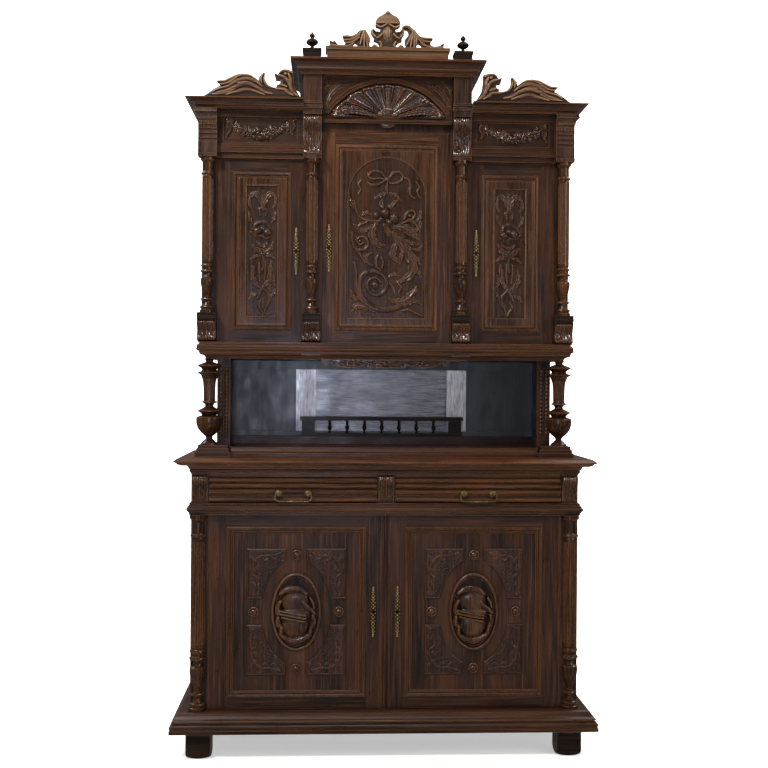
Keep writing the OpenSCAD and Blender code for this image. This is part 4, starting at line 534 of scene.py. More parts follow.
# %% Lines
def smooth_line(points, steps=7):
    """A smooth line through points of x, z and half width."""
    p = np.array(points, float)
    p = np.vstack([2 * p[0] - p[1], p, 2 * p[-1] - p[-2]])
    t = np.linspace(0, 1, steps, endpoint=False)[:, None]
    parts = [
        0.5 * (2 * b + (c - a) * t + (2 * a - 5 * b + 4 * c - d) * t ** 2 + (3 * b - a - 3 * c + d) * t ** 3)
        for a, b, c, d in zip(p, p[1:], p[2:], p[3:])
    ]
    return np.vstack(parts + [p[-2:-1]])


def beside(field, line):
    """For the grid near a line: how far along it each point lies, and how far across in half widths."""
    reach = line[:, 2].max() + 3
    rows = slice(*np.searchsorted(field.z, (line[:, 1].min() - reach, line[:, 1].max() + reach)))
    columns = slice(*np.searchsorted(field.x, (line[:, 0].min() - reach, line[:, 0].max() + reach)))
    x, z = np.meshgrid(field.x[columns], field.z[rows])
    way = np.diff(line[:, :2], axis=0)
    rx = x[..., None] - line[:-1, 0]
    rz = z[..., None] - line[:-1, 1]
    f = np.clip((rx * way[:, 0] + rz * way[:, 1]) / np.maximum((way ** 2).sum(1), 1e-6), 0, 1)
    dx = rx - f * way[:, 0]
    dz = rz - f * way[:, 1]
    nearest = (dx ** 2 + dz ** 2).argmin(-1)[..., None]
    f, dx, dz = (np.take_along_axis(a, nearest, -1)[..., 0] for a in (f, dx, dz))
    nearest = nearest[..., 0]
    t = (nearest + f) / len(way)
    width = np.interp(nearest + f, np.arange(len(line)), line[:, 2])
    turn = np.sign(way[nearest, 0] * dz - way[nearest, 1] * dx)
    across = turn * np.hypot(dx, dz) / np.maximum(width, 0.4)
    return (rows, columns), t, across, width


print("a line of 3 points becomes", len(smooth_line([(0, 0, 1), (5, 0, 2), (9, 3, 1)])), "points")

# %% Stem, leaf and dome
def stem(field, points, height, base=0.0):
    """A round rod that swells and tapers."""
    place, _, across, width = beside(field, smooth_line(points))
    share = np.minimum(width / (width.max() * 0.6 + 0.01), 1.0)
    field.raise_to(place, base + height * share * np.sqrt(np.clip(1 - across ** 2, 0, 1)), np.abs(across) < 1)


def leaf(field, points, height, lobes=0, hollow=0.45, base=0.0):
    """A leaf with a hollow face, a middle rib and lobes that lean to its tip."""
    place, t, across, _ = beside(field, smooth_line(points))
    a = np.abs(across)
    phase = lobes * (t - 0.10 * a)
    edge = 0.66 + 0.34 * np.abs(np.sin(np.pi * phase)) ** 0.6 if lobes else 1.0
    a = a / edge
    body = (1 - hollow) + hollow * np.clip(a, 0, 1) ** 2
    body *= np.clip((1 - a) / 0.2, 0, 1) ** 0.5
    body += 0.4 * np.exp(-(across / 0.15) ** 2) * (1 - 0.6 * t)
    if lobes:
        body -= 0.30 * np.clip(a, 0, 1) * (0.5 + 0.5 * np.cos(2 * np.pi * phase))
    lift = 0.55 + 0.45 * np.sin(np.pi * np.clip(0.15 + 0.85 * t, 0, 1))
    field.raise_to(place, base + height * body * lift, a < 1)


def dome(field, x, z, rx, rz, height, base=0.0, ribs=0):
    """A fruit, bud or boss; ribs cut it into sections."""
    gx, gz = field.grid()
    r = np.hypot((gx - x) / rx, (gz - z) / rz)
    h = height * np.sqrt(np.clip(1 - r ** 2, 0, 1))
    if ribs:
        h *= 1 - 0.25 * r * (0.5 + 0.5 * np.cos(ribs * np.arctan2(gz - z, gx - x)))
    field.raise_to((slice(None), slice(None)), base + h, r < 1)


print("forms: stem, leaf, dome")

# %% Mesh pieces
def piece(name, points, faces, body, material, sharp=50, ground=None):
    """A smooth mesh piece from points in metres, riding on a body. ground is the y of its lowest parts."""
    mesh = bpy.data.meshes.new(name)
    mesh.from_pydata(points.tolist(), [], faces)
    mesh.polygons.foreach_set("use_smooth", [True] * len(mesh.polygons))
    mesh.set_sharp_from_angle(angle=math.radians(sharp))
    rise = np.full(len(points), 99.0) if ground is None else ground - points[:, 1] * 1000
    mesh.attributes.new("rise_mm", "FLOAT", "POINT").data.foreach_set("value", rise)
    mesh.materials.append(material)
    made = bpy.data.objects.new(name, mesh)
    bpy.context.scene.collection.objects.link(made)
    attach(made, body)
    return made


def grid_faces(rows, columns):
    """The number of each point of a grid, and the four corners of each of its cells."""
    number = np.arange(rows * columns).reshape(rows, columns)
    return number, np.stack([number[:-1, :-1], number[:-1, 1:], number[1:, 1:], number[1:, :-1]], -1)


def only_used(points, faces):
    """The points that a face uses, in metres, and the faces with their new numbers."""
    used = np.unique(faces)
    renumber = np.full(len(points), -1)
    renumber[used] = np.arange(len(used))
    return points[used] / 1000, renumber[faces].tolist()


print("a piece is smooth, rides on a body and knows how high it rises")

# %% Outlines
def snap(field, distance):
    """Moves the grid points next to an outline onto it. distance is negative inside."""
    x, z = field.grid()
    dz, dx = np.gradient(distance, field.z, field.x)
    size2 = np.maximum(dx ** 2 + dz ** 2, 0.2)
    step = max(np.diff(field.x).min(), np.diff(field.z).min())
    close = np.abs(distance) < 0.62 * step
    x = np.where(close, x - distance * dx / size2, x)
    z = np.where(close, z - distance * dz / size2, z)
    return x, z, (distance < 0) | close


def inside_outline(field, outline):
    """The distance in mm from every grid point to a closed outline, negative inside it."""
    x, z = field.grid()
    a = np.asarray(outline, float)
    b = np.roll(a, -1, 0)
    best = np.full(x.shape, 1e9)
    crossings = np.zeros(x.shape, int)
    for (ax, az), (bx, bz) in zip(a, b):
        wx, wz = bx - ax, bz - az
        f = np.clip(((x - ax) * wx + (z - az) * wz) / max(wx * wx + wz * wz, 1e-9), 0, 1)
        best = np.minimum(best, np.hypot(x - ax - f * wx, z - az - f * wz))
        if az != bz:
            crossings += ((az > z) != (bz > z)) & (x < ax + (z - az) / (bz - az) * wx)
    return np.where(crossings % 2 == 1, -best, best)


print("a relief's edge is snapped to its outline")

# %% Relief to mesh
def relief_points(field, face, back, keep=None, xz=None):
    """The front of a relief at y = face minus its height, with side walls that reach y = back."""
    x, z = field.grid() if xz is None else xz
    rows, columns = field.h.shape
    keep = np.ones((rows, columns), bool) if keep is None else keep
    whole = keep[:-1, :-1] & keep[1:, :-1] & keep[:-1, 1:] & keep[1:, 1:]
    quads = grid_faces(rows, columns)[1][whole]
    front = np.stack([x, face - field.h, z], -1).reshape(-1, 3)
    rear = np.stack([x, np.full_like(x, back), z], -1).reshape(-1, 3)
    pairs = np.concatenate([quads[:, [0, 1]], quads[:, [1, 2]], quads[:, [2, 3]], quads[:, [3, 0]]])
    key = np.sort(pairs, 1)
    key = key[:, 0] * (rows * columns) + key[:, 1]
    _, first, count = np.unique(key, return_index=True, return_counts=True)
    rim = pairs[first[count == 1]]
    walls = np.stack([rim[:, 1], rim[:, 0], rim[:, 0] + rows * columns, rim[:, 1] + rows * columns], -1)
    return only_used(np.concatenate([front, rear]), np.concatenate([quads, walls]))


def cut_out(field, distance, face):
    """A relief cut along an outline, with its back 1 mm behind its face."""
    x, z, inside = snap(field, distance)
    return relief_points(field, face, face + 1, inside, (x, z))


def evenly(low, high, step):
    """Numbers from low to high, about a step apart."""
    return np.linspace(low, high, int(round((high - low) / step)) + 1)


grain_noise = np.random.default_rng(7)
print("reliefs are meshes with side walls")

# %% [markdown]
# ## The centre door's panel
# The panel has a raised border, arched at the top, round a sunk field. On it hang a ribbon bow, a bunch of
# fruit and flowers, a branch with a small scroll, a great acanthus leaf that turns over on the right, and
# a stem that sweeps up into a large scroll. The carving is 4 to 12 mm high. The lines below are the
# carver's drawing: x and z in mm from the middle of the field, and the half width of each form.

# %% Panel boards
grid_step = 1.6
board_thick = 9
covered = 32.2
border_rise, border_slope = 5.0, 2.2
groove_in, groove_half, groove_deep = 5.5, 1.0, 0.9


def panel_board(door, margin, arched, draw):
    """A door's panel, standing in for the CAD panel: a sunk field, so far in from the edge, with carving."""
    low, high = box_mm(door + "_panel")
    middle_x, middle_z = (low[0] + high[0]) / 2, (low[2] + high[2]) / 2
    face = high[1] - board_thick
    board_w, board_h = (high[0] - low[0]) / 2, (high[2] - low[2]) / 2
    open_w, open_h = board_w - covered, board_h - covered
    half_w, half_h = board_w - margin, board_h - margin
    x = np.concatenate([[-board_w], evenly(-open_w, open_w, grid_step), [board_w]])
    z = np.concatenate([[-board_h], evenly(-open_h, open_h, grid_step), [board_h]])
    field = Relief(x, z)
    gx, gz = field.grid()
    outside = np.maximum(np.abs(gx) - half_w, np.abs(gz) - half_h)
    if arched:
        spring = half_h - half_w
        round_top = np.hypot(gx, gz - spring) - half_w
        outside = np.where(gz > spring, round_top, np.maximum(np.abs(gx) - half_w, -half_h - gz))
    # the ground is a little uneven, as the gouge left it
    ground = grain_noise.normal(0, 1, field.h.shape)
    for _ in range(2):
        ground[1:-1, 1:-1] = (ground[:-2, 1:-1] + ground[2:, 1:-1] + ground[1:-1, :-2] + ground[1:-1, 2:]) / 4
    field.h = 0.35 * ground
    draw(field)
    # the border rises round the field and has a fine groove along its edge
    border = border_rise * np.clip(outside / border_slope, 0, 1) ** 0.6
    border -= groove_deep * np.exp(-((outside - groove_in) / groove_half) ** 2)
    field.h = np.where(outside > 0, border, field.h)
    field.h[(np.abs(gx) > open_w + 1) | (np.abs(gz) > open_h + 1)] = 0
    points, faces = relief_points(field, face, high[1])
    points += np.array([middle_x, 0, middle_z]) / 1000
    # one flat face closes the back
    rear = [(x, high[1], z) for x, z in ((low[0], low[2]), (low[0], high[2]), (high[0], high[2]),
                                         (high[0], low[2]))]
    faces.append(list(range(len(points), len(points) + 4)))
    points = np.vstack([points, np.array(rear) / 1000])
    made = piece(door + "_carved_panel", points, faces, door, oak_relief, ground=face + 2.8)
    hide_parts(door + "_panel")


print("the frames of the doors cover", covered, "mm of each panel's edge")

# %% Centre panel
def centre_drawing(field):
    """The bow, fruit, branches, leaves and scrolls of the centre door."""
    for line in (
        # the bow's two loops, its knot and its ribbon ends
        [(-6, 228, 4.5), (-21, 247, 6), (-48, 254, 6), (-66, 243, 5.5), (-70, 232, 4.5), (-54, 224, 4.5),
         (-28, 226, 4.5), (-6, 222, 4)],
        [(-6, 220, 4.5), (-28, 205, 6), (-55, 201, 6.5), (-70, 209, 4.5)],
        [(9, 228, 4.5), (25, 247, 6), (48, 251, 6), (59, 239, 5), (55, 220, 4.5), (32, 209, 5),
         (13, 209, 4.5), (6, 220, 4)],
        [(2, 213, 4.5), (0, 190, 5.5), (2, 171, 5)],
        [(63, 232, 3), (82, 224, 5.5), (89, 201, 6), (86, 179, 6), (93, 160, 5), (108, 152, 3)],
        # the branch on the left and the small scroll
        [(-123, 141, 3), (-116, 106, 5), (-101, 80, 6), (-70, 66, 6), (-28, 65, 4.5)],
        [(-74, 61, 4), (-101, 49, 6), (-112, 30, 3)],
        [(-131, 19, 4), (-131, -11, 6), (-116, -38, 7), (-89, -46, 7), (-70, -27, 6), (-78, 0, 5.5),
         (-101, 4, 5), (-112, -11, 4.5), (-101, -25, 5), (-89, -19, 4)],
        [(-124, -34, 4.5), (-101, -61, 7), (-86, -84, 5.5), (-82, -99, 3)],
        # the flower on the right
        [(66, 72, 4), (78, 95, 7), (97, 106, 6), (108, 95, 4.5), (101, 76, 5), (86, 72, 4)],
        [(59, 57, 4), (86, 68, 6), (108, 57, 6), (127, 27, 4)],
        # the bud over the great scroll
        [(-32, -65, 4), (-40, -87, 7), (-36, -110, 7), (-21, -122, 4)],
        [(-21, -72, 4), (-13, -91, 5.5), (-17, -114, 4)],
        # the sweeping stem and the great scroll
        [(-120, -95, 4), (-116, -133, 7), (-116, -179, 9), (-101, -224, 10.5), (-66, -255, 11),
         (-21, -272, 11), (28, -266, 11), (74, -243, 10), (101, -213, 8), (116, -182, 4)],
        [(-66, -251, 7), (-97, -209, 8.5), (-101, -167, 9), (-82, -135, 9), (-48, -127, 9), (-13, -141, 8.5),
         (2, -175, 8), (-9, -205, 7.5), (-36, -217, 7), (-63, -205, 7), (-72, -179, 6.5), (-59, -156, 6),
         (-36, -152, 5.5), (-21, -167, 5)],
        [(13, -171, 4), (25, -186, 7), (32, -209, 4)],
        [(44, -167, 4), (55, -186, 7), (48, -205, 4)],
        [(63, -274, 4), (86, -270, 7), (108, -281, 6.5), (138, -294, 3)],
        # loose ribbon ends beside the bow
        [(112, 214, 3), (122, 196, 5), (116, 176, 5), (124, 156, 3)],
        [(-98, 220, 3), (-107, 203, 5), (-100, 184, 5), (-108, 166, 3)],
    ):
        stem(field, line, 7.0)
    for lobes, height, line in (
        (3, 7, [(2, 171, 5), (-13, 167, 7.5), (-28, 160, 8), (-44, 152, 3)]),
        (3, 7, [(2, 171, 5), (21, 167, 7.5), (36, 163, 8), (51, 144, 3)]),
        (0, 8, [(-13, 110, 4), (-21, 129, 8), (-17, 144, 3)]),
        (0, 8, [(13, 110, 4), (25, 133, 8), (40, 144, 3)]),
        (5, 9, [(-40, 57, 8), (-55, 27, 15), (-51, -4, 17), (-28, -27, 12), (-6, -27, 4)]),
        (0, 8, [(-6, 49, 7), (6, 23, 11), (21, 8, 5)]),
        (5, 9, [(32, 42, 8), (59, 42, 17), (86, 30, 20), (108, 11, 12), (120, -4, 4)]),
        (3, 7, [(40, 4, 6), (63, -4, 9), (86, -17, 10), (120, -21, 4)]),
        (7, 11, [(25, 19, 8), (48, -11, 17), (78, -49, 23), (101, -95, 24), (93, -137, 18), (59, -160, 9),
                 (40, -163, 4)]),
        (3, 9, [(40, -11, 8), (28, -42, 13), (25, -68, 14), (44, -87, 7)]),
        (0, 9, [(63, -46, 5), (55, -72, 8), (51, -95, 4)]),
        (2, 8, [(112, -65, 4), (124, -87, 8), (131, -106, 3)]),
        (5, 11, [(13, -228, 5), (32, -239, 12), (63, -239, 19), (89, -224, 21), (112, -194, 8)]),
        (6, 8, [(-127, -281, 5), (-112, -258, 13), (-74, -264, 12), (-28, -275, 9), (17, -272, 4)]),
        # small leaves that fill the ground between the stems
        (3, 6, [(-60, 42, 4), (-84, 28, 9), (-106, 34, 8), (-124, 50, 3)]),
        (3, 6, [(98, 22, 5), (122, 38, 9), (130, 62, 4)]),
        (3, 7, [(100, -40, 4), (122, -42, 8), (136, -28, 3)]),
        (3, 7, [(100, -112, 5), (122, -126, 9), (132, -150, 3)]),
        (3, 6, [(-58, -58, 4), (-78, -70, 8), (-72, -92, 6), (-54, -104, 3)]),
        (4, 8, [(72, -258, 5), (98, -240, 9), (122, -240, 7), (136, -252, 3)]),
        (3, 7, [(-100, -238, 5), (-124, -224, 9), (-134, -200, 4)]),
        (3, 6, [(10, -146, 4), (30, -136, 8), (54, -144, 4)]),
        (3, 6, [(-112, 108, 4), (-130, 122, 8), (-134, 144, 4)]),
        (3, 6, [(-96, 84, 4), (-76, 96, 8), (-58, 90, 3)]),
        (3, 6, [(104, 60, 4), (124, 78, 8), (130, 104, 4)]),
    ):
        leaf(field, line, height, lobes)
    for x, z, r, height, ribs in (
        (-6, 95, 18, 15, 0), (28, 76, 20, 16, 6), (-40, 87, 11, 10, 0), (13, 118, 10, 10, 5),
        (-17, 118, 9, 9, 5), (10, 61, 10, 9, 5), (-22, 72, 8, 8, 0), (88, 86, 8, 8, 5),
        (-42, -179, 14, 11, 8), (2, 222, 10, 10, 0), (-101, -12, 6, 8, 0),
    ):
        dome(field, x, z, r, r, height, 0.0, ribs)


panel_board("upper_door_centre", 58, True, centre_drawing)
print("centre panel carved")

# %% [markdown]
# ## The side doors' panels
# Each has a tall narrow field with a hanging ornament: a fan of leaves, two fruits under an arch, a curled
# leaf, a husk and a stem whose foot curls. The right one mirrors the left.

# %% Side panels
def side_drawing(side):
    """The hanging ornament of a side door, whose x is measured towards the outer side."""
    def turned(line):
        return [(side * x, z, w) for x, z, w in line]

    def draw(field):
        for line in (
            [(-4, 163, 4), (10, 156, 6), (8, 135, 4.5)],
            [(-4, 163, 4), (-16, 152, 6), (-13, 133, 4)],
            [(-30, 85, 4), (-19, 104, 7), (2, 109, 7.5), (25, 99, 7), (36, 80, 4)],
            [(-34, 57, 4), (-15, 48, 6), (4, 57, 6), (27, 59, 6), (40, 72, 4)],
            [(-2, -10, 4.5), (-6, -40, 5.5), (-2, -70, 5)],
            [(-13, -40, 4), (-13, -78, 6), (-10, -112, 4)],
            [(10, -44, 4), (10, -82, 6), (6, -112, 4)],
            [(-6, -137, 5), (6, -158, 7), (14, -177, 4.5)],
            [(-6, -137, 5), (-25, -163, 7), (-28, -190, 8), (-17, -213, 7), (-13, -232, 4)],
            [(2, -186, 4), (10, -205, 6), (-2, -228, 5), (-10, -238, 3)],
        ):
            stem(field, turned(line), 5.5)
        for lobes, line in (
            (3, [(-6, 163, 6), (-13, 194, 11), (-32, 217, 11), (-49, 209, 5)]),
            (3, [(-4, 163, 6), (6, 194, 11), (25, 217, 11), (46, 205, 5)]),
            (0, [(-4, 156, 5), (-4, 186, 9), (-4, 226, 4)]),
            (0, [(-49, 205, 4), (-51, 182, 6), (-42, 163, 3)]),
            (0, [(44, 205, 4), (48, 179, 6), (38, 160, 3)]),
            (5, [(-42, 32, 5), (-30, 8, 12), (-8, -4, 15), (17, 4, 11), (34, 19, 4)]),
            (2, [(-21, 27, 5), (-2, 19, 8), (19, 32, 4)]),
            (4, [(-36, -42, 5), (-32, -72, 10), (-28, -106, 11), (-13, -129, 8), (-4, -137, 4)]),
            (4, [(30, -63, 5), (34, -95, 9), (25, -120, 10), (4, -139, 4)]),
            (3, [(-46, -84, 4), (-44, -110, 8), (-50, -133, 4)]),
            # small leaves beside the fruit, the husk and the foot
            (2, [(-36, 108, 4), (-46, 126, 7), (-50, 146, 3)]),
            (2, [(36, 104, 4), (46, 122, 7), (50, 142, 3)]),
            (3, [(-14, -20, 4), (-34, -16, 7), (-50, -28, 3)]),
            (3, [(6, -18, 4), (26, -20, 7), (44, -34, 3)]),
            (3, [(12, -160, 4), (34, -166, 8), (48, -184, 3)]),
            (3, [(-30, -172, 4), (-44, -160, 7), (-52, -146, 3)]),
        ):
            leaf(field, turned(line), 7.5, lobes)
        for x, z, r, ribs in ((-21, 68, 17, 0), (17, 74, 17, 0), (-2, 84, 8, 5), (-4, 163, 8, 0),
                              (-4, -12, 6, 0)):
            dome(field, side * x, z, r, r, 0.75 * r, 0.0, ribs)

    return draw


for name, side in sides:
    panel_board("upper_door_" + name, 62, False, side_drawing(side))
print("side panels carved")

# %% [markdown]
# ## The lower doors' plaques and medallions
# Four thin plaques with punched and carved ground stand round an oval medallion, whose rim is a rounded
# moulding. In it lies a cartouche: a bulging shield with rolled lips, tied by a strap. The plaques were
# cut from redder wood and catch more light, so they get a finish of their own. Between them sit four
# small turned bosses.

# %% Ovals, mirror images and turned forms
def oval_distance(x, z, rx, rz):
    """About how far a point lies outside an oval, in mm."""
    r = np.hypot(x / rx, z / rz)
    slope = np.hypot(x / rx ** 2, z / rz ** 2)
    return (r - 1) * r / np.maximum(slope, 1e-4)


def mirrored_mesh(points, faces, sides):
    """One mesh of a form and its mirror images in x and z."""
    all_points, all_faces = [], []
    for number, (sx, sz) in enumerate(sides):
        all_points.append(points * np.array([sx, 1, sz]))
        turn = 1 if sx * sz > 0 else -1
        all_faces += [[i + number * len(points) for i in face[::turn]] for face in faces]
    return np.concatenate(all_points), all_faces


def lathe(profile, segments=36):
    """A turned form on the plane y = 0, rising towards the front: radius and height in mm."""
    angles = np.linspace(0, 2 * np.pi, segments, endpoint=False)
    points = [(r * math.cos(a), -h, r * math.sin(a)) for r, h in profile for a in angles]
    faces = []
    for j in range(len(profile) - 1):
        for i in range(segments):
            k = (i + 1) % segments
            faces.append([j * segments + k, (j + 1) * segments + k, (j + 1) * segments + i, j * segments + i])
    faces.append(list(range((len(profile) - 1) * segments, len(profile) * segments)))
    return np.array(points) / 1000, faces


def joined(parts):
    """Several meshes as one."""
    points, faces, count = [], [], 0
    for some_points, some_faces in parts:
        points.append(some_points)
        faces += [[i + count for i in face] for face in some_faces]
        count += len(some_points)
    return np.concatenate(points), faces


print("a lathe turns", 36, "steps")

# %% Plaques
plaque_left, plaque_right, plaque_low, plaque_high = 38, 182, 48, 233
opening_rx, opening_rz = 130, 197
plaque_thick, pit_deep = 5.2, 1.5
plaque = Relief(evenly(36, 184, 1.9), evenly(46, 235, 1.9))
px, pz = plaque.grid()
plaque_edge = np.maximum.reduce([
    px - plaque_right, pz - plaque_high, plaque_left - px, plaque_low - pz,
    -oval_distance(px, pz, opening_rx, opening_rz),
])
# the punch left pits all over the ground
pits = grain_noise.uniform(0, 1, plaque.h.shape)
plaque.h[:] = plaque_thick - pit_deep * (pits > 0.72)
for line in (
    [(62, 216, 2), (92, 208, 3.5), (128, 206, 3.5), (156, 182, 3.5), (164, 140, 3.5), (168, 96, 3),
     (160, 66, 2)],
    [(128, 206, 3), (118, 190, 3.5), (104, 196, 2)],
    [(164, 140, 3), (148, 128, 3.5), (146, 112, 2)],
):
    stem(plaque, line, 2.4, 4.6)
for line in (
    [(92, 208, 3), (84, 222, 7), (66, 226, 3)],
    [(96, 206, 3), (84, 194, 6), (70, 200, 3)],
    [(120, 206, 3), (124, 222, 8), (142, 226, 3)],
    [(150, 190, 3), (166, 200, 9), (174, 220, 3)],
    [(162, 150, 3), (174, 164, 7), (174, 184, 3)],
    [(160, 150, 3), (146, 158, 8), (138, 174, 3)],
    [(166, 112, 3), (174, 100, 6), (176, 82, 3)],
    [(166, 110, 3), (154, 98, 7), (148, 82, 3)],
    [(162, 76, 3), (172, 64, 5), (174, 54, 2)],
):
    leaf(plaque, line, 2.6, 3, base=4.4)
dome(plaque, 152, 186, 10, 10, 3.4, 4.6, 5)
dome(plaque, 62, 216, 6, 6, 2.6, 4.6, 5)
dome(plaque, 160, 64, 6, 6, 2.6, 4.6, 5)
# the rim is rounded over and has a groove inside it
plaque.h = np.where(plaque_edge > -4.2, 5.4 - 2.6 * np.clip((plaque_edge + 3.6) / 3.6, 0, 1), plaque.h)
plaque.h = np.where(np.abs(plaque_edge + 6.0) < 1.4, 3.6, plaque.h)
plaques = mirrored_mesh(*cut_out(plaque, plaque_edge, 0), ((1, 1), (-1, 1), (1, -1), (-1, -1)))
print("plaques:", len(plaques[0]), "points a door")

# %% Medallion
medallion_rx, medallion_rz = 86, 138
bar_half, bar_high = 6.2, 8.5
medallion = Relief(evenly(-94, 94, 1.6), evenly(-146, 146, 1.6))
mx, mz = medallion.grid()
rim = oval_distance(mx, mz, medallion_rx, medallion_rz)
medallion.h[:] = 1.5
# the rolled lips round the shield
for line in (
    [(-57, 70, 8), (-35, 83, 12), (-9, 86, 14), (17, 81, 12), (36, 68, 8)],
    [(-50, -88, 8), (-28, -102, 12), (-2, -107, 14), (24, -99, 12), (46, -84, 8)],
    [(-58, 40, 7), (-68, 20, 10), (-66, -2, 11), (-52, -8, 7)],
    [(-66, -18, 7), (-67, -42, 11), (-54, -58, 8)],
    [(-56, -66, 7), (-54, -84, 9), (-40, -96, 6)],
    [(26, 38, 7), (38, 22, 11), (56, 8, 10), (68, -4, 6)],
    [(62, -12, 7), (66, -34, 10), (56, -56, 8)],
    [(54, -64, 7), (50, -80, 9), (34, -96, 6)],
    [(52, 52, 5), (62, 34, 7), (66, 16, 4)],
):
    stem(medallion, line, 15.0, 5.0)
dome(medallion, -4, 36, 52, 46, 15, 2)
dome(medallion, -4, -52, 50, 46, 15, 2)
dome(medallion, -2, -8, 58, 26, 17, 2)
# the strap across it
for line in (
    [(-62, 6, 4), (-20, -3, 4.6), (34, -12, 4)],
    [(-58, -6, 4), (-20, -14, 4.6), (34, -23, 4)],
    [(-52, -18, 4), (-17, -26, 4.6), (30, -34, 4)],
):
    stem(medallion, line, 6.5, 15.0)
# the rounded moulding of the rim, and a fillet inside it
bar = bar_high * np.sqrt(np.clip(1 - (rim / bar_half) ** 2, 0, 1))
medallion.h = np.where(rim > -bar_half, np.maximum(bar, 1.0), medallion.h)
bead = np.abs(rim + 9.5) < 2.2
medallion.h = np.where(bead, np.maximum(medallion.h, 3.4), medallion.h)
medallion_mesh = cut_out(medallion, rim - 6, 0)
print("medallion:", len(medallion_mesh[0]), "points")

# %% Bosses, and all of it on the doors
boss_x, boss_z = 157, 210
boss = lathe([(19, -1), (19, 3.5), (18, 5.2), (16, 6), (14, 5.2), (13, 3.8), (12, 4.2), (11.6, 8),
              (10.4, 11.5), (8, 14), (5, 15.4), (2, 16)])
bosses = joined([
    (boss[0] + np.array([x, 0, z]) / 1000, boss[1])
    for x, z in ((0, boss_z), (0, -boss_z), (boss_x, 0), (-boss_x, 0))
])
for name, side in sides:
    body = "base_door_" + name
    low, high = box_mm(body + "_panel")
    front = low[1]
    middle = np.array([(low[0] + high[0]) / 2, front, (low[2] + high[2]) / 2]) / 1000
    made = piece(body + "_plaques", plaques[0] + middle, plaques[1], body, oak_red, ground=front - 2)
    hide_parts(body + "_ornament")
    piece(body + "_medallion", medallion_mesh[0] + middle, medallion_mesh[1], body, oak_relief,
          ground=front - 1)
    piece(body + "_bosses", bosses[0] + middle, bosses[1], body, oak_glossy)
print("lower doors carved")

# %% [markdown]
# ## The shell over the centre door
# Nine flutes fan out from a hub, each a hollow channel with a thin rib and a rolled lip at its end. It is
# easiest to shape on a grid of angles and radii. Two feathered leaves lie over its foot, left and right.

# %% Shell
arch_radius = 263.5
arch_centre = -135.5
shell_low, shell_high = box_mm("shell")
hub_z, shell_plane = shell_low[2], shell_high[1]
hub_radius = 30
flutes = 9
angle = np.linspace(0, np.pi, flutes * 22 + 1)
share = np.linspace(0, 1, 56)
angle_grid, share_grid = np.meshgrid(angle, share, indexing="ij")
lobe = np.abs(np.sin(flutes * angle_grid))
reach = arch_centre * np.sin(angle_grid)
reach += np.sqrt(reach ** 2 + arch_radius ** 2 - arch_centre ** 2)
shell_edge = (reach - 7) * (0.93 + 0.07 * lobe ** 0.7)
radius = hub_radius + (shell_edge - hub_radius) * share_grid
# each flute is hollow, with a fine rib along it and a rolled lip at its end
hollow = 1 - lobe ** 1.2
lift = 11 + 20 * share_grid ** 0.8 + (3 + 12 * share_grid) * (hollow - 0.5)
lift += (1.5 + 2.5 * share_grid) * np.exp(-((lobe - 1) / 0.10) ** 2)
lift += 6 * np.exp(-((share_grid - 0.94) / 0.045) ** 2) * (0.35 + 0.65 * lobe)
lift = np.where(share_grid > 0.985, lift - 3, lift)
lift = np.maximum(lift, 4)
shell_front = np.stack([
    radius * np.cos(angle_grid), shell_plane - lift, hub_z + radius * np.sin(angle_grid)], -1)
rows, columns = lift.shape
number, shell_cells = grid_faces(rows, columns)
shell_faces = shell_cells.reshape(-1, 4).tolist()
shell_rim = np.concatenate([number[:, -1], number[::-1, 0]])
shell_back = shell_front.reshape(-1, 3)[shell_rim].copy()
shell_back[:, 1] = shell_plane
count = rows * columns
for i, here in enumerate(shell_rim):
    after = (i + 1) % len(shell_rim)
    shell_faces.append([here, count + i, count + after, shell_rim[after]])
shell_points = np.concatenate([shell_front.reshape(-1, 3), shell_back]) / 1000
shell_piece = piece("carved_shell", shell_points, shell_faces, "carcase", oak_shell, sharp=60)
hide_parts("shell")
print("shell carved:", len(shell_points), "points")

# %% Hub, pearls and feathered leaves
pearl_x, pearl_plane = 28, -114
wing_face, wing_back = -126, -112
hub = lathe([(39, -1), (39, 9), (36, 13), (30, 15), (24, 15), (18, 17), (10, 18.5), (2, 19)], 48)
pearl = lathe([(11, -6), (11, 2), (10, 6), (7.5, 9), (4, 11), (1, 11.6)])
hub_parts = [(hub[0] + np.array([0, shell_plane, hub_z]) / 1000, hub[1])]
for x in (-pearl_x, pearl_x):
    hub_parts.append((pearl[0] + np.array([x, pearl_plane, hub_z + 10]) / 1000, pearl[1]))
hub_points, hub_faces = joined(hub_parts)
piece("shell_hub", hub_points, hub_faces, "carcase", oak_shell)

wings = Relief(evenly(30, 222, 1.4), evenly(2376, 2420, 1.4))
leaf(wings, [(212, 2382, 4), (176, 2391, 9), (128, 2397, 12), (88, 2392, 11), (52, 2381, 4)], 11, 9)
leaf(wings, [(206, 2396, 3), (170, 2405, 7), (130, 2410, 8), (96, 2406, 4)], 7, 6)
wing_keep = wings.h > 0
wing_points, wing_faces = relief_points(wings, wing_face, wing_back, wing_keep)
wing_points, wing_faces = mirrored_mesh(wing_points, wing_faces, ((1, 1), (-1, 1)))
piece("shell_wings", wing_points, wing_faces, "carcase", oak_glossy, ground=wing_face)
print("feathered leaves:", len(wing_points), "points")

# %% [markdown]
# ## Crest and beasts
# The crest and the two beasts are sawn from thick board and then carved on their face. The sawn outline is
# the CAD model's, so a thin carved skin on its face is enough: the same outline, drawn in a little, with
# ribs, veins and scales on it.

# %% Crest
crest_z, crest_face = 2643.0, -92.0
skin_inset = 0.6
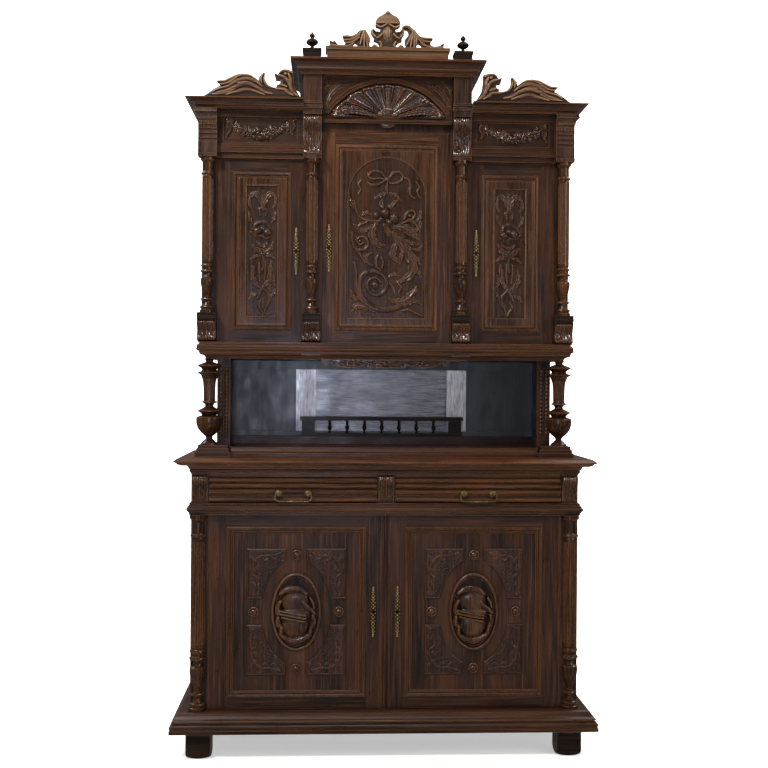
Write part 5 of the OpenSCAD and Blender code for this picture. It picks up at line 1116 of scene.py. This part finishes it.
# in mm from the middle of its foot: the two side scrolls, and the right half of the cartouche
crest_left = [(-222, 33), (-211, 25), (-199, 28), (-190, 15), (-165, 13), (-159, 22), (-168, 34), (-172, 49),
              (-155, 51), (-138, 49), (-119, 58), (-107, 70), (-85, 71), (-71, 49), (-65, 35), (-71, 26),
              (-68, 10), (-78, 2), (-92, 4), (-100, 14), (-107, 6), (-115, 18), (-125, 24), (-136, 11),
              (-150, 0), (-214, 0), (-222, 13)]
crest_right = [(50, 73), (53, 85), (64, 91), (80, 92), (107, 71), (118, 53), (130, 47), (150, 49),
               (173, 44), (164, 32), (164, 20), (176, 14), (198, 17), (215, 30), (214, 12), (207, 0),
               (150, 0), (136, 11), (121, 25), (113, 24), (108, 10), (96, 4), (76, 6), (68, 20), (65, 37),
               (76, 51), (79, 64), (75, 76), (66, 79), (58, 72)]
crest_half = [(0, 148), (4, 144), (9, 140), (11, 135), (18, 133), (18, 129), (30, 125), (41, 117), (47, 105),
              (47, 90), (40, 85), (28, 79), (31, 67), (44, 65), (56, 76), (64, 74), (63, 60), (52, 44),
              (54, 33), (40, 28), (29, 11), (35, 3), (43, 16), (54, 18), (62, 7), (61, 1), (0, 1)]
cartouche = [(-x, z) for x, z in crest_half] + crest_half[::-1]
crest = Relief(evenly(-224, 218, 1.5), evenly(0, 152, 1.5))
crest_edge = np.minimum.reduce([inside_outline(crest, o) for o in (crest_left, crest_right, cartouche)])
cx, cz = crest.grid()
crest.h[:] = 1.0 + 1.5 * np.clip(-crest_edge / 7, 0, 1) ** 0.6
# the ribs of the side scrolls
for line in (
    [(-88, 70, 4), (-98, 44, 6), (-104, 16, 4)], [(-86, 70, 4), (-89, 40, 6), (-90, 8, 4)],
    [(-84, 68, 4), (-80, 40, 6), (-77, 6, 4)], [(-80, 62, 4), (-72, 40, 6), (-69, 14, 4)],
    [(-104, 60, 4), (-130, 44, 6), (-164, 44, 4)], [(-106, 52, 4), (-134, 34, 6), (-164, 30, 4)],
    [(-108, 42, 4), (-134, 24, 6), (-166, 18, 4)], [(-126, 20, 4), (-158, 7, 5), (-216, 10, 4)],
    [(54, 76, 4), (62, 86, 6), (80, 84, 7), (98, 66, 5)], [(98, 68, 4), (84, 40, 6), (72, 16, 4)],
    [(100, 64, 4), (92, 38, 6), (86, 9, 4)], [(104, 60, 4), (102, 36, 6), (101, 9, 4)],
    [(110, 56, 4), (110, 36, 5), (108, 18, 3)], [(112, 58, 4), (136, 42, 6), (168, 42, 4)],
    [(114, 48, 4), (136, 32, 6), (162, 30, 4)], [(116, 40, 4), (138, 18, 6), (164, 8, 5), (208, 9, 4)],
):
    stem(crest, line, 9.0, 1.0)
# the scrolls of the cartouche are alike left and right
for side in (-1, 1):
    for line in (
        [(40, 66, 4), (54, 72, 6), (60, 62, 5), (48, 46, 4)],
        [(30, 26, 4), (24, 12, 5), (38, 8, 5), (54, 11, 4)],
        [(44, 90, 4), (30, 82, 5), (14, 88, 5), (0, 97, 5)],
        [(22, 56, 4), (32, 46, 5), (44, 40, 3)],
    ):
        stem(crest, [(side * x, z, w) for x, z, w in line], 9.0, 1.0)
# a scaled dome over them, with a bud on its top
scales = np.abs(np.sin((cx + cz) * math.pi / 9) * np.sin((cx - cz) * math.pi / 9))
in_dome = (cz > 96) & (cz < 130) & (np.abs(cx) < 46)
bulge = 8 * np.sqrt(np.clip(1 - (cx / 50) ** 2 - ((cz - 108) / 34) ** 2, 0, 1))
crest.h = np.where(in_dome, np.maximum(crest.h, 2 + bulge + 2.2 * scales), crest.h)
dome(crest, 0, 138, 9, 8, 8, 1.5, 5)
dome(crest, -13, 133, 5, 4, 5, 1.5)
dome(crest, 13, 133, 5, 4, 5, 1.5)
# and a ribbed jewel below
dome(crest, 0, 56, 19, 32, 5, 1.5)
jewel = np.hypot(cx / 14.5, (cz - 61) / 27)
ribbed = 13.5 * np.sqrt(np.clip(1 - jewel ** 2, 0, 1)) + 1.2 * np.cos(cx * 2 * math.pi / 6.5)
crest.h = np.where(jewel < 0.97, np.maximum(ribbed, 3), crest.h)
crest_points, crest_faces = cut_out(crest, crest_edge + skin_inset, crest_face)
piece("crest_carving", crest_points + np.array([0, 0, crest_z]) / 1000, crest_faces, "carcase", oak_beast,
      ground=crest_face - 2)
print("crest carved:", len(crest_points), "points")

# %% Beasts
beast_line = [(4, 0), (392, 0), (354, 29), (322, 48), (340, 67), (307, 68), (273, 88), (253, 95),
              (232, 97), (212, 95), (195, 88), (173, 69), (171, 84), (161, 98), (149, 106), (150, 86),
              (144, 66), (130, 49), (113, 41), (98, 44), (102, 52), (90, 56), (86, 70), (91, 75), (105, 76),
              (112, 103), (97, 95), (90, 110), (76, 117), (56, 117), (36, 112), (35, 100), (34, 70),
              (29, 44), (16, 20)]
beast_x = 321.5
beast_face, beast_z = box_mm("dragons")[0][1:]
# the outline was drawn a little larger than the beast stands
wide, tall = 0.93, 0.89
beast = Relief(evenly(0, 366, 1.5), evenly(0, 106, 1.5))
beast_edge = inside_outline(beast, [(u * wide, v * tall) for u, v in beast_line])
beast.h[:] = 1.0 + 2.0 * np.clip(-beast_edge / 10, 0, 1) ** 0.6


def scaled(line):
    """A line in the beast's own units, as mm."""
    return [(u * wide, v * tall, w) for u, v, w in line]


# seven locks of the mane, then the neck, the jaw, the brow and the curls between them
for height, line in (
    (6, [(118, 14, 3), (150, 22, 6), (186, 44, 8), (222, 54, 8), (258, 44, 8), (296, 26, 6), (344, 12, 3)]),
    (6, [(150, 10, 3), (186, 24, 6), (222, 30, 7), (262, 20, 6), (300, 8, 3)]),
    (6, [(160, 46, 3), (186, 66, 7), (222, 76, 8), (256, 66, 8), (290, 44, 7), (330, 32, 4), (352, 20, 3)]),
    (6, [(180, 74, 3), (212, 89, 5), (248, 87, 6), (272, 70, 6), (300, 54, 5), (326, 50, 4)]),
    (6, [(256, 90, 3), (282, 76, 5), (306, 64, 5), (332, 64, 3)]),
    (5, [(164, 30, 3), (190, 50, 4), (222, 62, 4), (252, 56, 4)]),
    (5, [(266, 32, 3), (300, 16, 5), (352, 8, 3)]),
    (7, [(18, 8, 4), (36, 24, 8), (46, 48, 8), (46, 76, 7), (54, 98, 5)]),
    (6, [(34, 8, 3), (56, 22, 7), (70, 34, 6), (104, 36, 4)]),
    (6, [(52, 50, 4), (58, 72, 7), (74, 86, 6), (92, 92, 4), (106, 98, 3)]),
    (6, [(60, 44, 3), (74, 50, 6), (88, 54, 4)]),
    (6, [(40, 104, 4), (60, 112, 6), (78, 112, 5), (90, 102, 3)]),
    (6, [(160, 60, 3), (162, 80, 5), (153, 100, 2)]),
    (5, [(104, 38, 3), (130, 44, 4), (148, 62, 4), (153, 84, 2)]),
):
    stem(beast, scaled(line), 1.5 * height, 1.5)
# the eye, and a row of small curls along the neck
dome(beast, 66 * wide, 99 * tall, 7, 6, 5, 5.0)
for i in range(9):
    dome(beast, (70 + 8 * i) * wide, (40 + 0.12 * i * i) * tall, 3, 3, 3, 4.5)
beast_points, beast_faces = cut_out(beast, beast_edge + skin_inset, beast_face)
beast_points += np.array([beast_x, 0, beast_z]) / 1000
beast_points, beast_faces = mirrored_mesh(beast_points, beast_faces, ((1, 1), (-1, 1)))
piece("beast_carving", beast_points, beast_faces, "carcase", oak_beast, ground=beast_face - 2.5)
print("beasts carved:", len(beast_points), "points")

# %% [markdown]
# ## Garlands on the frieze
# A rope of fruit and leaves hangs in each sunk field and ends in ribbons. Its leaves and fruits are set
# along a sagging line, by a fixed seed, so each run gives the same garland.

# %% Garlands
garland_x, garland_z, frieze_ground = 477.8, 2326, -111.0
leaves, fruits = 26, 72
garland = Relief(evenly(-136, 136, 1.4), evenly(-46, 46, 1.4))
scatter = np.random.default_rng(21)
for i in range(leaves):
    u = -1 + 2 * (i + 0.5) / leaves
    x = 112 * u
    z = -18 + 34 * u * u + scatter.uniform(-3, 3)
    lean = scatter.uniform(-1, 1)
    way = 1 if i % 2 else -1
    line = [(x, z, 3), (x + 8 * lean + 5, z + way * 11, 7.5), (x + 12 * lean + 8, z + way * 21, 3)]
    leaf(garland, line, 8, 3, base=1)
for i in range(fruits):
    u = scatter.uniform(-0.94, 0.94)
    spread = 13 * (1 - 0.6 * abs(u))
    r = scatter.uniform(4.5, 9.0) * (1 - 0.35 * abs(u))
    dome(garland, 112 * u, -16 + 32 * u * u + scatter.uniform(-spread, spread), r, r, 0.9 * r, 4.0,
         5 if i % 3 == 0 else 0)
# the ribbons at both ends
for line in (
    [(-112, 16, 3), (-124, 30, 4), (-130, 40, 3)],
    [(108, 14, 3), (118, 28, 5), (124, 38, 3)],
    [(118, 30, 3), (126, 10, 5), (124, -16, 5), (128, -34, 3)],
    [(-122, 32, 3), (-128, 16, 4), (-124, 0, 3)],
):
    stem(garland, line, 6, 1)
garland_points, garland_faces = relief_points(garland, frieze_ground, frieze_ground + 0.5, garland.h > 0)
for name, side in sides:
    made_points = garland_points * np.array([side, 1, 1])
    made_points += np.array([side * garland_x, 0, garland_z]) / 1000
    made_faces = garland_faces if side > 0 else [face[::-1] for face in garland_faces]
    piece("garland_" + name, made_points, made_faces, "carcase", oak_glossy, sharp=70,
          ground=frieze_ground)
print("garlands carved:", len(garland_points), "points each")

# %% [markdown]
# ## Carving that follows a curve
# The consoles, corbels and drawer brackets have a curved side profile with a leaf wrapped over it. The
# same heights are laid along that profile instead of over a plane, each point pushed out square to it.

# %% Wrapped leaves
leaf_sink = 1.5


def wrapped(profile, width, height_of):
    """A skin over a side profile of out and z in mm; height_of takes the share along it and across it."""
    line = smooth_line([(a, b, 1) for a, b in profile], 12)[:, :2]
    run = np.concatenate([[0], np.cumsum(np.hypot(*np.diff(line, axis=0).T))])
    s = evenly(0, run[-1], grid_step)
    out, z = np.interp(s, run, line[:, 0]), np.interp(s, run, line[:, 1])
    normal = np.stack([np.gradient(z, s), -np.gradient(out, s)], 1)
    normal /= np.maximum(np.linalg.norm(normal, axis=1, keepdims=True), 1e-6)
    x = evenly(-width / 2, width / 2, grid_step)
    x_grid, s_grid = np.meshgrid(x, s / run[-1])
    h = height_of(s_grid, x_grid / (width / 2))
    layers = [
        np.stack([x_grid, -(out[:, None] + normal[:, :1] * push), z[:, None] + normal[:, 1:] * push], -1)
        for push in (h, np.full_like(h, -leaf_sink))
    ]
    rows, columns = h.shape
    number, cells = grid_faces(rows, columns)
    rim = np.concatenate([number[0], number[1:, -1], number[-1, -2::-1], number[-2:0:-1, 0]])
    after = np.roll(rim, -1)
    walls = np.stack([after, rim, rim + rows * columns, after + rows * columns], -1)
    points = np.concatenate([made.reshape(-1, 3) for made in layers])
    return only_used(points, np.concatenate([cells.reshape(-1, 4), walls]))


def acanthus(s, w):
    """Fanning ribs with a middle rib and lobed shoulders."""
    a = np.abs(w)
    fan = a * (1.25 - 0.5 * np.sin(np.pi * s))
    ribs = np.abs(np.cos(np.pi * 3.5 * np.clip(fan, 0, 1)))
    lobes = 0.5 + 0.5 * np.cos(2 * np.pi * (4 * s - 1.1 * a))
    edge = np.clip((1 - a) / 0.12, 0, 1) ** 0.5
    ends = np.clip(np.minimum(s, 1 - s) / 0.05, 0, 1) ** 0.5
    return (1.0 + 3.0 * ribs * (0.6 + 0.4 * lobes) + 1.6 * np.exp(-(w / 0.10) ** 2)) * edge * ends


print("a wrapped leaf follows its profile in steps of", grid_step, "mm")

# %% Consoles, corbels and brackets
console_x, outer_x, bracket_x = 282.5, 673, 684.5
console_z = box_mm("frieze_consoles")[0][2]
corbel_z = box_mm("upper_bottom")[1][2]
bracket_y, bracket_z = box_mm("drawer_brackets")[1][1], box_mm("waist_moulding")[1][2]
console_out, console_h = 45, 179.0
corbel_out, corbel_h = 53, 110
console_side = [(0.70, 0.11), (0.55, 0.16), (0.50, 0.34), (0.66, 0.55), (0.96, 0.74), (0.98, 0.84),
                (0.84, 0.895)]
console = wrapped([(console_out * a, console_h * b) for a, b in console_side], 62, acanthus)
corbel_side = [(0.43, 0.01), (0.60, 0.05), (0.72, 0.12), (0.66, 0.24), (0.62, 0.40), (0.86, 0.62),
               (0.90, 0.70)]
corbel = wrapped([(corbel_out * a, corbel_h * b) for a, b in corbel_side], 66, acanthus)
bracket_side = [(10, 11), (9.5, 20), (12, 43), (16, 62), (23, 74), (26, 84), (22, 96), (14, 102)]
bracket = wrapped(bracket_side, 54, acanthus)
for name, side in sides:
    place = np.array([side * console_x, upper_face, console_z]) / 1000
    piece("console_leaf_" + name, console[0] + place, console[1], "carcase", oak_glossy)
for number, x in enumerate((-outer_x, -console_x, console_x, outer_x)):
    place = np.array([x, upper_face, corbel_z]) / 1000
    piece("corbel_leaf_%d" % number, corbel[0] + place, corbel[1], "carcase", oak_glossy)
for number, x in enumerate((-bracket_x, 0, bracket_x)):
    place = np.array([x, bracket_y, bracket_z]) / 1000
    piece("bracket_leaf_%d" % number, bracket[0] + place, bracket[1], "carcase", oak_glossy)
print("wrapped leaves: 9")

# %% [markdown]
# ## Small carving on the boards
# Leaves fill the corners beside the arch, waves of leaves run along the scalloped apron, and two rows of
# beads go down each side of the recess. The cast brass lock plates are pierced and beaded, and the beads
# are what catches the light, so each plate gets its own.

# %% Corner leaves
arch_mid_z, arch_clear = 2243.5, 283
arch_board_face = -118.0
corner = Relief(evenly(60, 240, 1.6), evenly(2382, 2522, 1.6))
for lobes, line in (
    (6, [(236, 2390, 4), (229, 2430, 9), (208, 2470, 13), (170, 2500, 12), (118, 2513, 4)]),
    (3, [(238, 2466, 3), (230, 2494, 8), (204, 2515, 4)]),
    (2, [(232, 2402, 3), (236, 2428, 5), (237, 2452, 3)]),
):
    leaf(corner, line, 5.0, lobes)
kx, kz = corner.grid()
corner_keep = (corner.h > 0) & (np.hypot(kx, kz - arch_mid_z) > arch_clear)
corner_half = relief_points(corner, arch_board_face, arch_board_face + 0.5, corner_keep)
corner_mesh = mirrored_mesh(*corner_half, ((1, 1), (-1, 1)))
piece("arch_corner_leaves", corner_mesh[0], corner_mesh[1], "carcase", oak_relief, ground=arch_board_face)
print("corner leaves:", len(corner_mesh[0]), "points")

# %% Apron leaves
apron_face, apron_top = box_mm("apron")[0][1], box_mm("upper_bottom")[0][2]
apron = Relief(evenly(-208, 208, 1.5), evenly(-33, -3, 1.5))
ax, az = apron.grid()
apron.h[:] = 0.6
lobe_width = 69.9
along = np.where(np.abs(ax) < lobe_width, 0, (np.abs(ax) - 2 * lobe_width) / lobe_width)
lower_edge = -9 - 23 * (0.25 + 0.75 * np.clip(np.cos(np.pi / 2 * along), 0, 1) ** 0.7)
for side in (-1, 1):
    for lobes, line in (
        (5, [(10, -20, 5), (30, -25, 9), (52, -20, 8), (72, -10, 3)]),
        (3, [(6, -8, 3), (26, -11, 6), (48, -9, 3)]),
        (6, [(76, -14, 4), (104, -23, 9), (140, -27, 10), (176, -20, 8), (206, -10, 3)]),
        (4, [(90, -8, 3), (126, -11, 6), (168, -8, 3)]),
    ):
        leaf(apron, [(side * x, z, w) for x, z, w in line], 5.5, lobes, base=0.6)
dome(apron, 0, -19, 13, 12, 9, 0.6, 7)
apron_keep = (az > lower_edge + 1.0) & (apron.h > 0)
apron_mesh = relief_points(apron, apron_face, apron_face + 0.5, apron_keep)
piece("apron_leaves", apron_mesh[0] + np.array([0, 0, apron_top]) / 1000, apron_mesh[1], "carcase",
      oak_glossy, ground=apron_face)
print("apron leaves:", len(apron_mesh[0]), "points")

# %% Beads beside the recess
def studs(places, radius, height):
    """Round beads at places in mm, rising to the front."""
    steps = np.linspace(0, np.pi / 2, 5)
    bead = lathe([(radius * math.cos(a) + 0.05, height * math.sin(a)) for a in steps], 12)
    return joined([(bead[0] + np.array(place) / 1000, bead[1]) for place in places])


rows_x = (604, 626)
rows_z = np.arange(1185, 1440, 15)
pilaster_face = box_mm("recess_sides")[0][1]
recess_places = [(side * x, pilaster_face, z) for side in (-1, 1) for x in rows_x for z in rows_z]
recess_studs = studs(recess_places, radius=4.6, height=4.0)
piece("recess_side_beads", recess_studs[0], recess_studs[1], "carcase", oak_relief)
print("beads beside the recess:", len(recess_places))

# %% Brass beads of the lock plates
bead_rows, bead_reach = 29, 0.94
# each plate stands so far in from its door's edge and above its middle, is so long, and lies on one side
for door, from_edge, above, length, lock_side in (
    ("base_door_left", 29, 0, 194, 1), ("base_door_right", 29, 0, 194, -1),
    ("upper_door_left", 19, 0, 182, 1), ("upper_door_right", 19, 0, 182, -1),
    ("upper_door_centre", 24, -40, 186, -1),
):
    low, high = box_mm(door + "_frame")
    x = high[0] - from_edge if lock_side > 0 else low[0] + from_edge
    y = box_mm(door + "_hardware")[0][1]
    z = (low[2] + high[2]) / 2 + above
    small, large = [], []
    for i in range(bead_rows):
        f = -bead_reach + 2 * bead_reach * i / (bead_rows - 1)
        half = 1.2 + 10.5 * (1 - abs(f) ** 1.6) * (0.66 + 0.34 * abs(math.cos(3 * math.pi * f)))
        if i % 2:
            small += [(x - 0.72 * half, y, z + f * length / 2), (x + 0.72 * half, y, z + f * length / 2)]
        elif abs(f) > 0.1:
            large.append((x, y, z + f * length / 2))
    plate_beads = joined([studs(small, radius=1.9, height=1.8), studs(large, radius=2.8, height=2.6)])
    piece(door + "_brass_beads", plate_beads[0], plate_beads[1], door, brass)
print("brass beads on 5 plates")
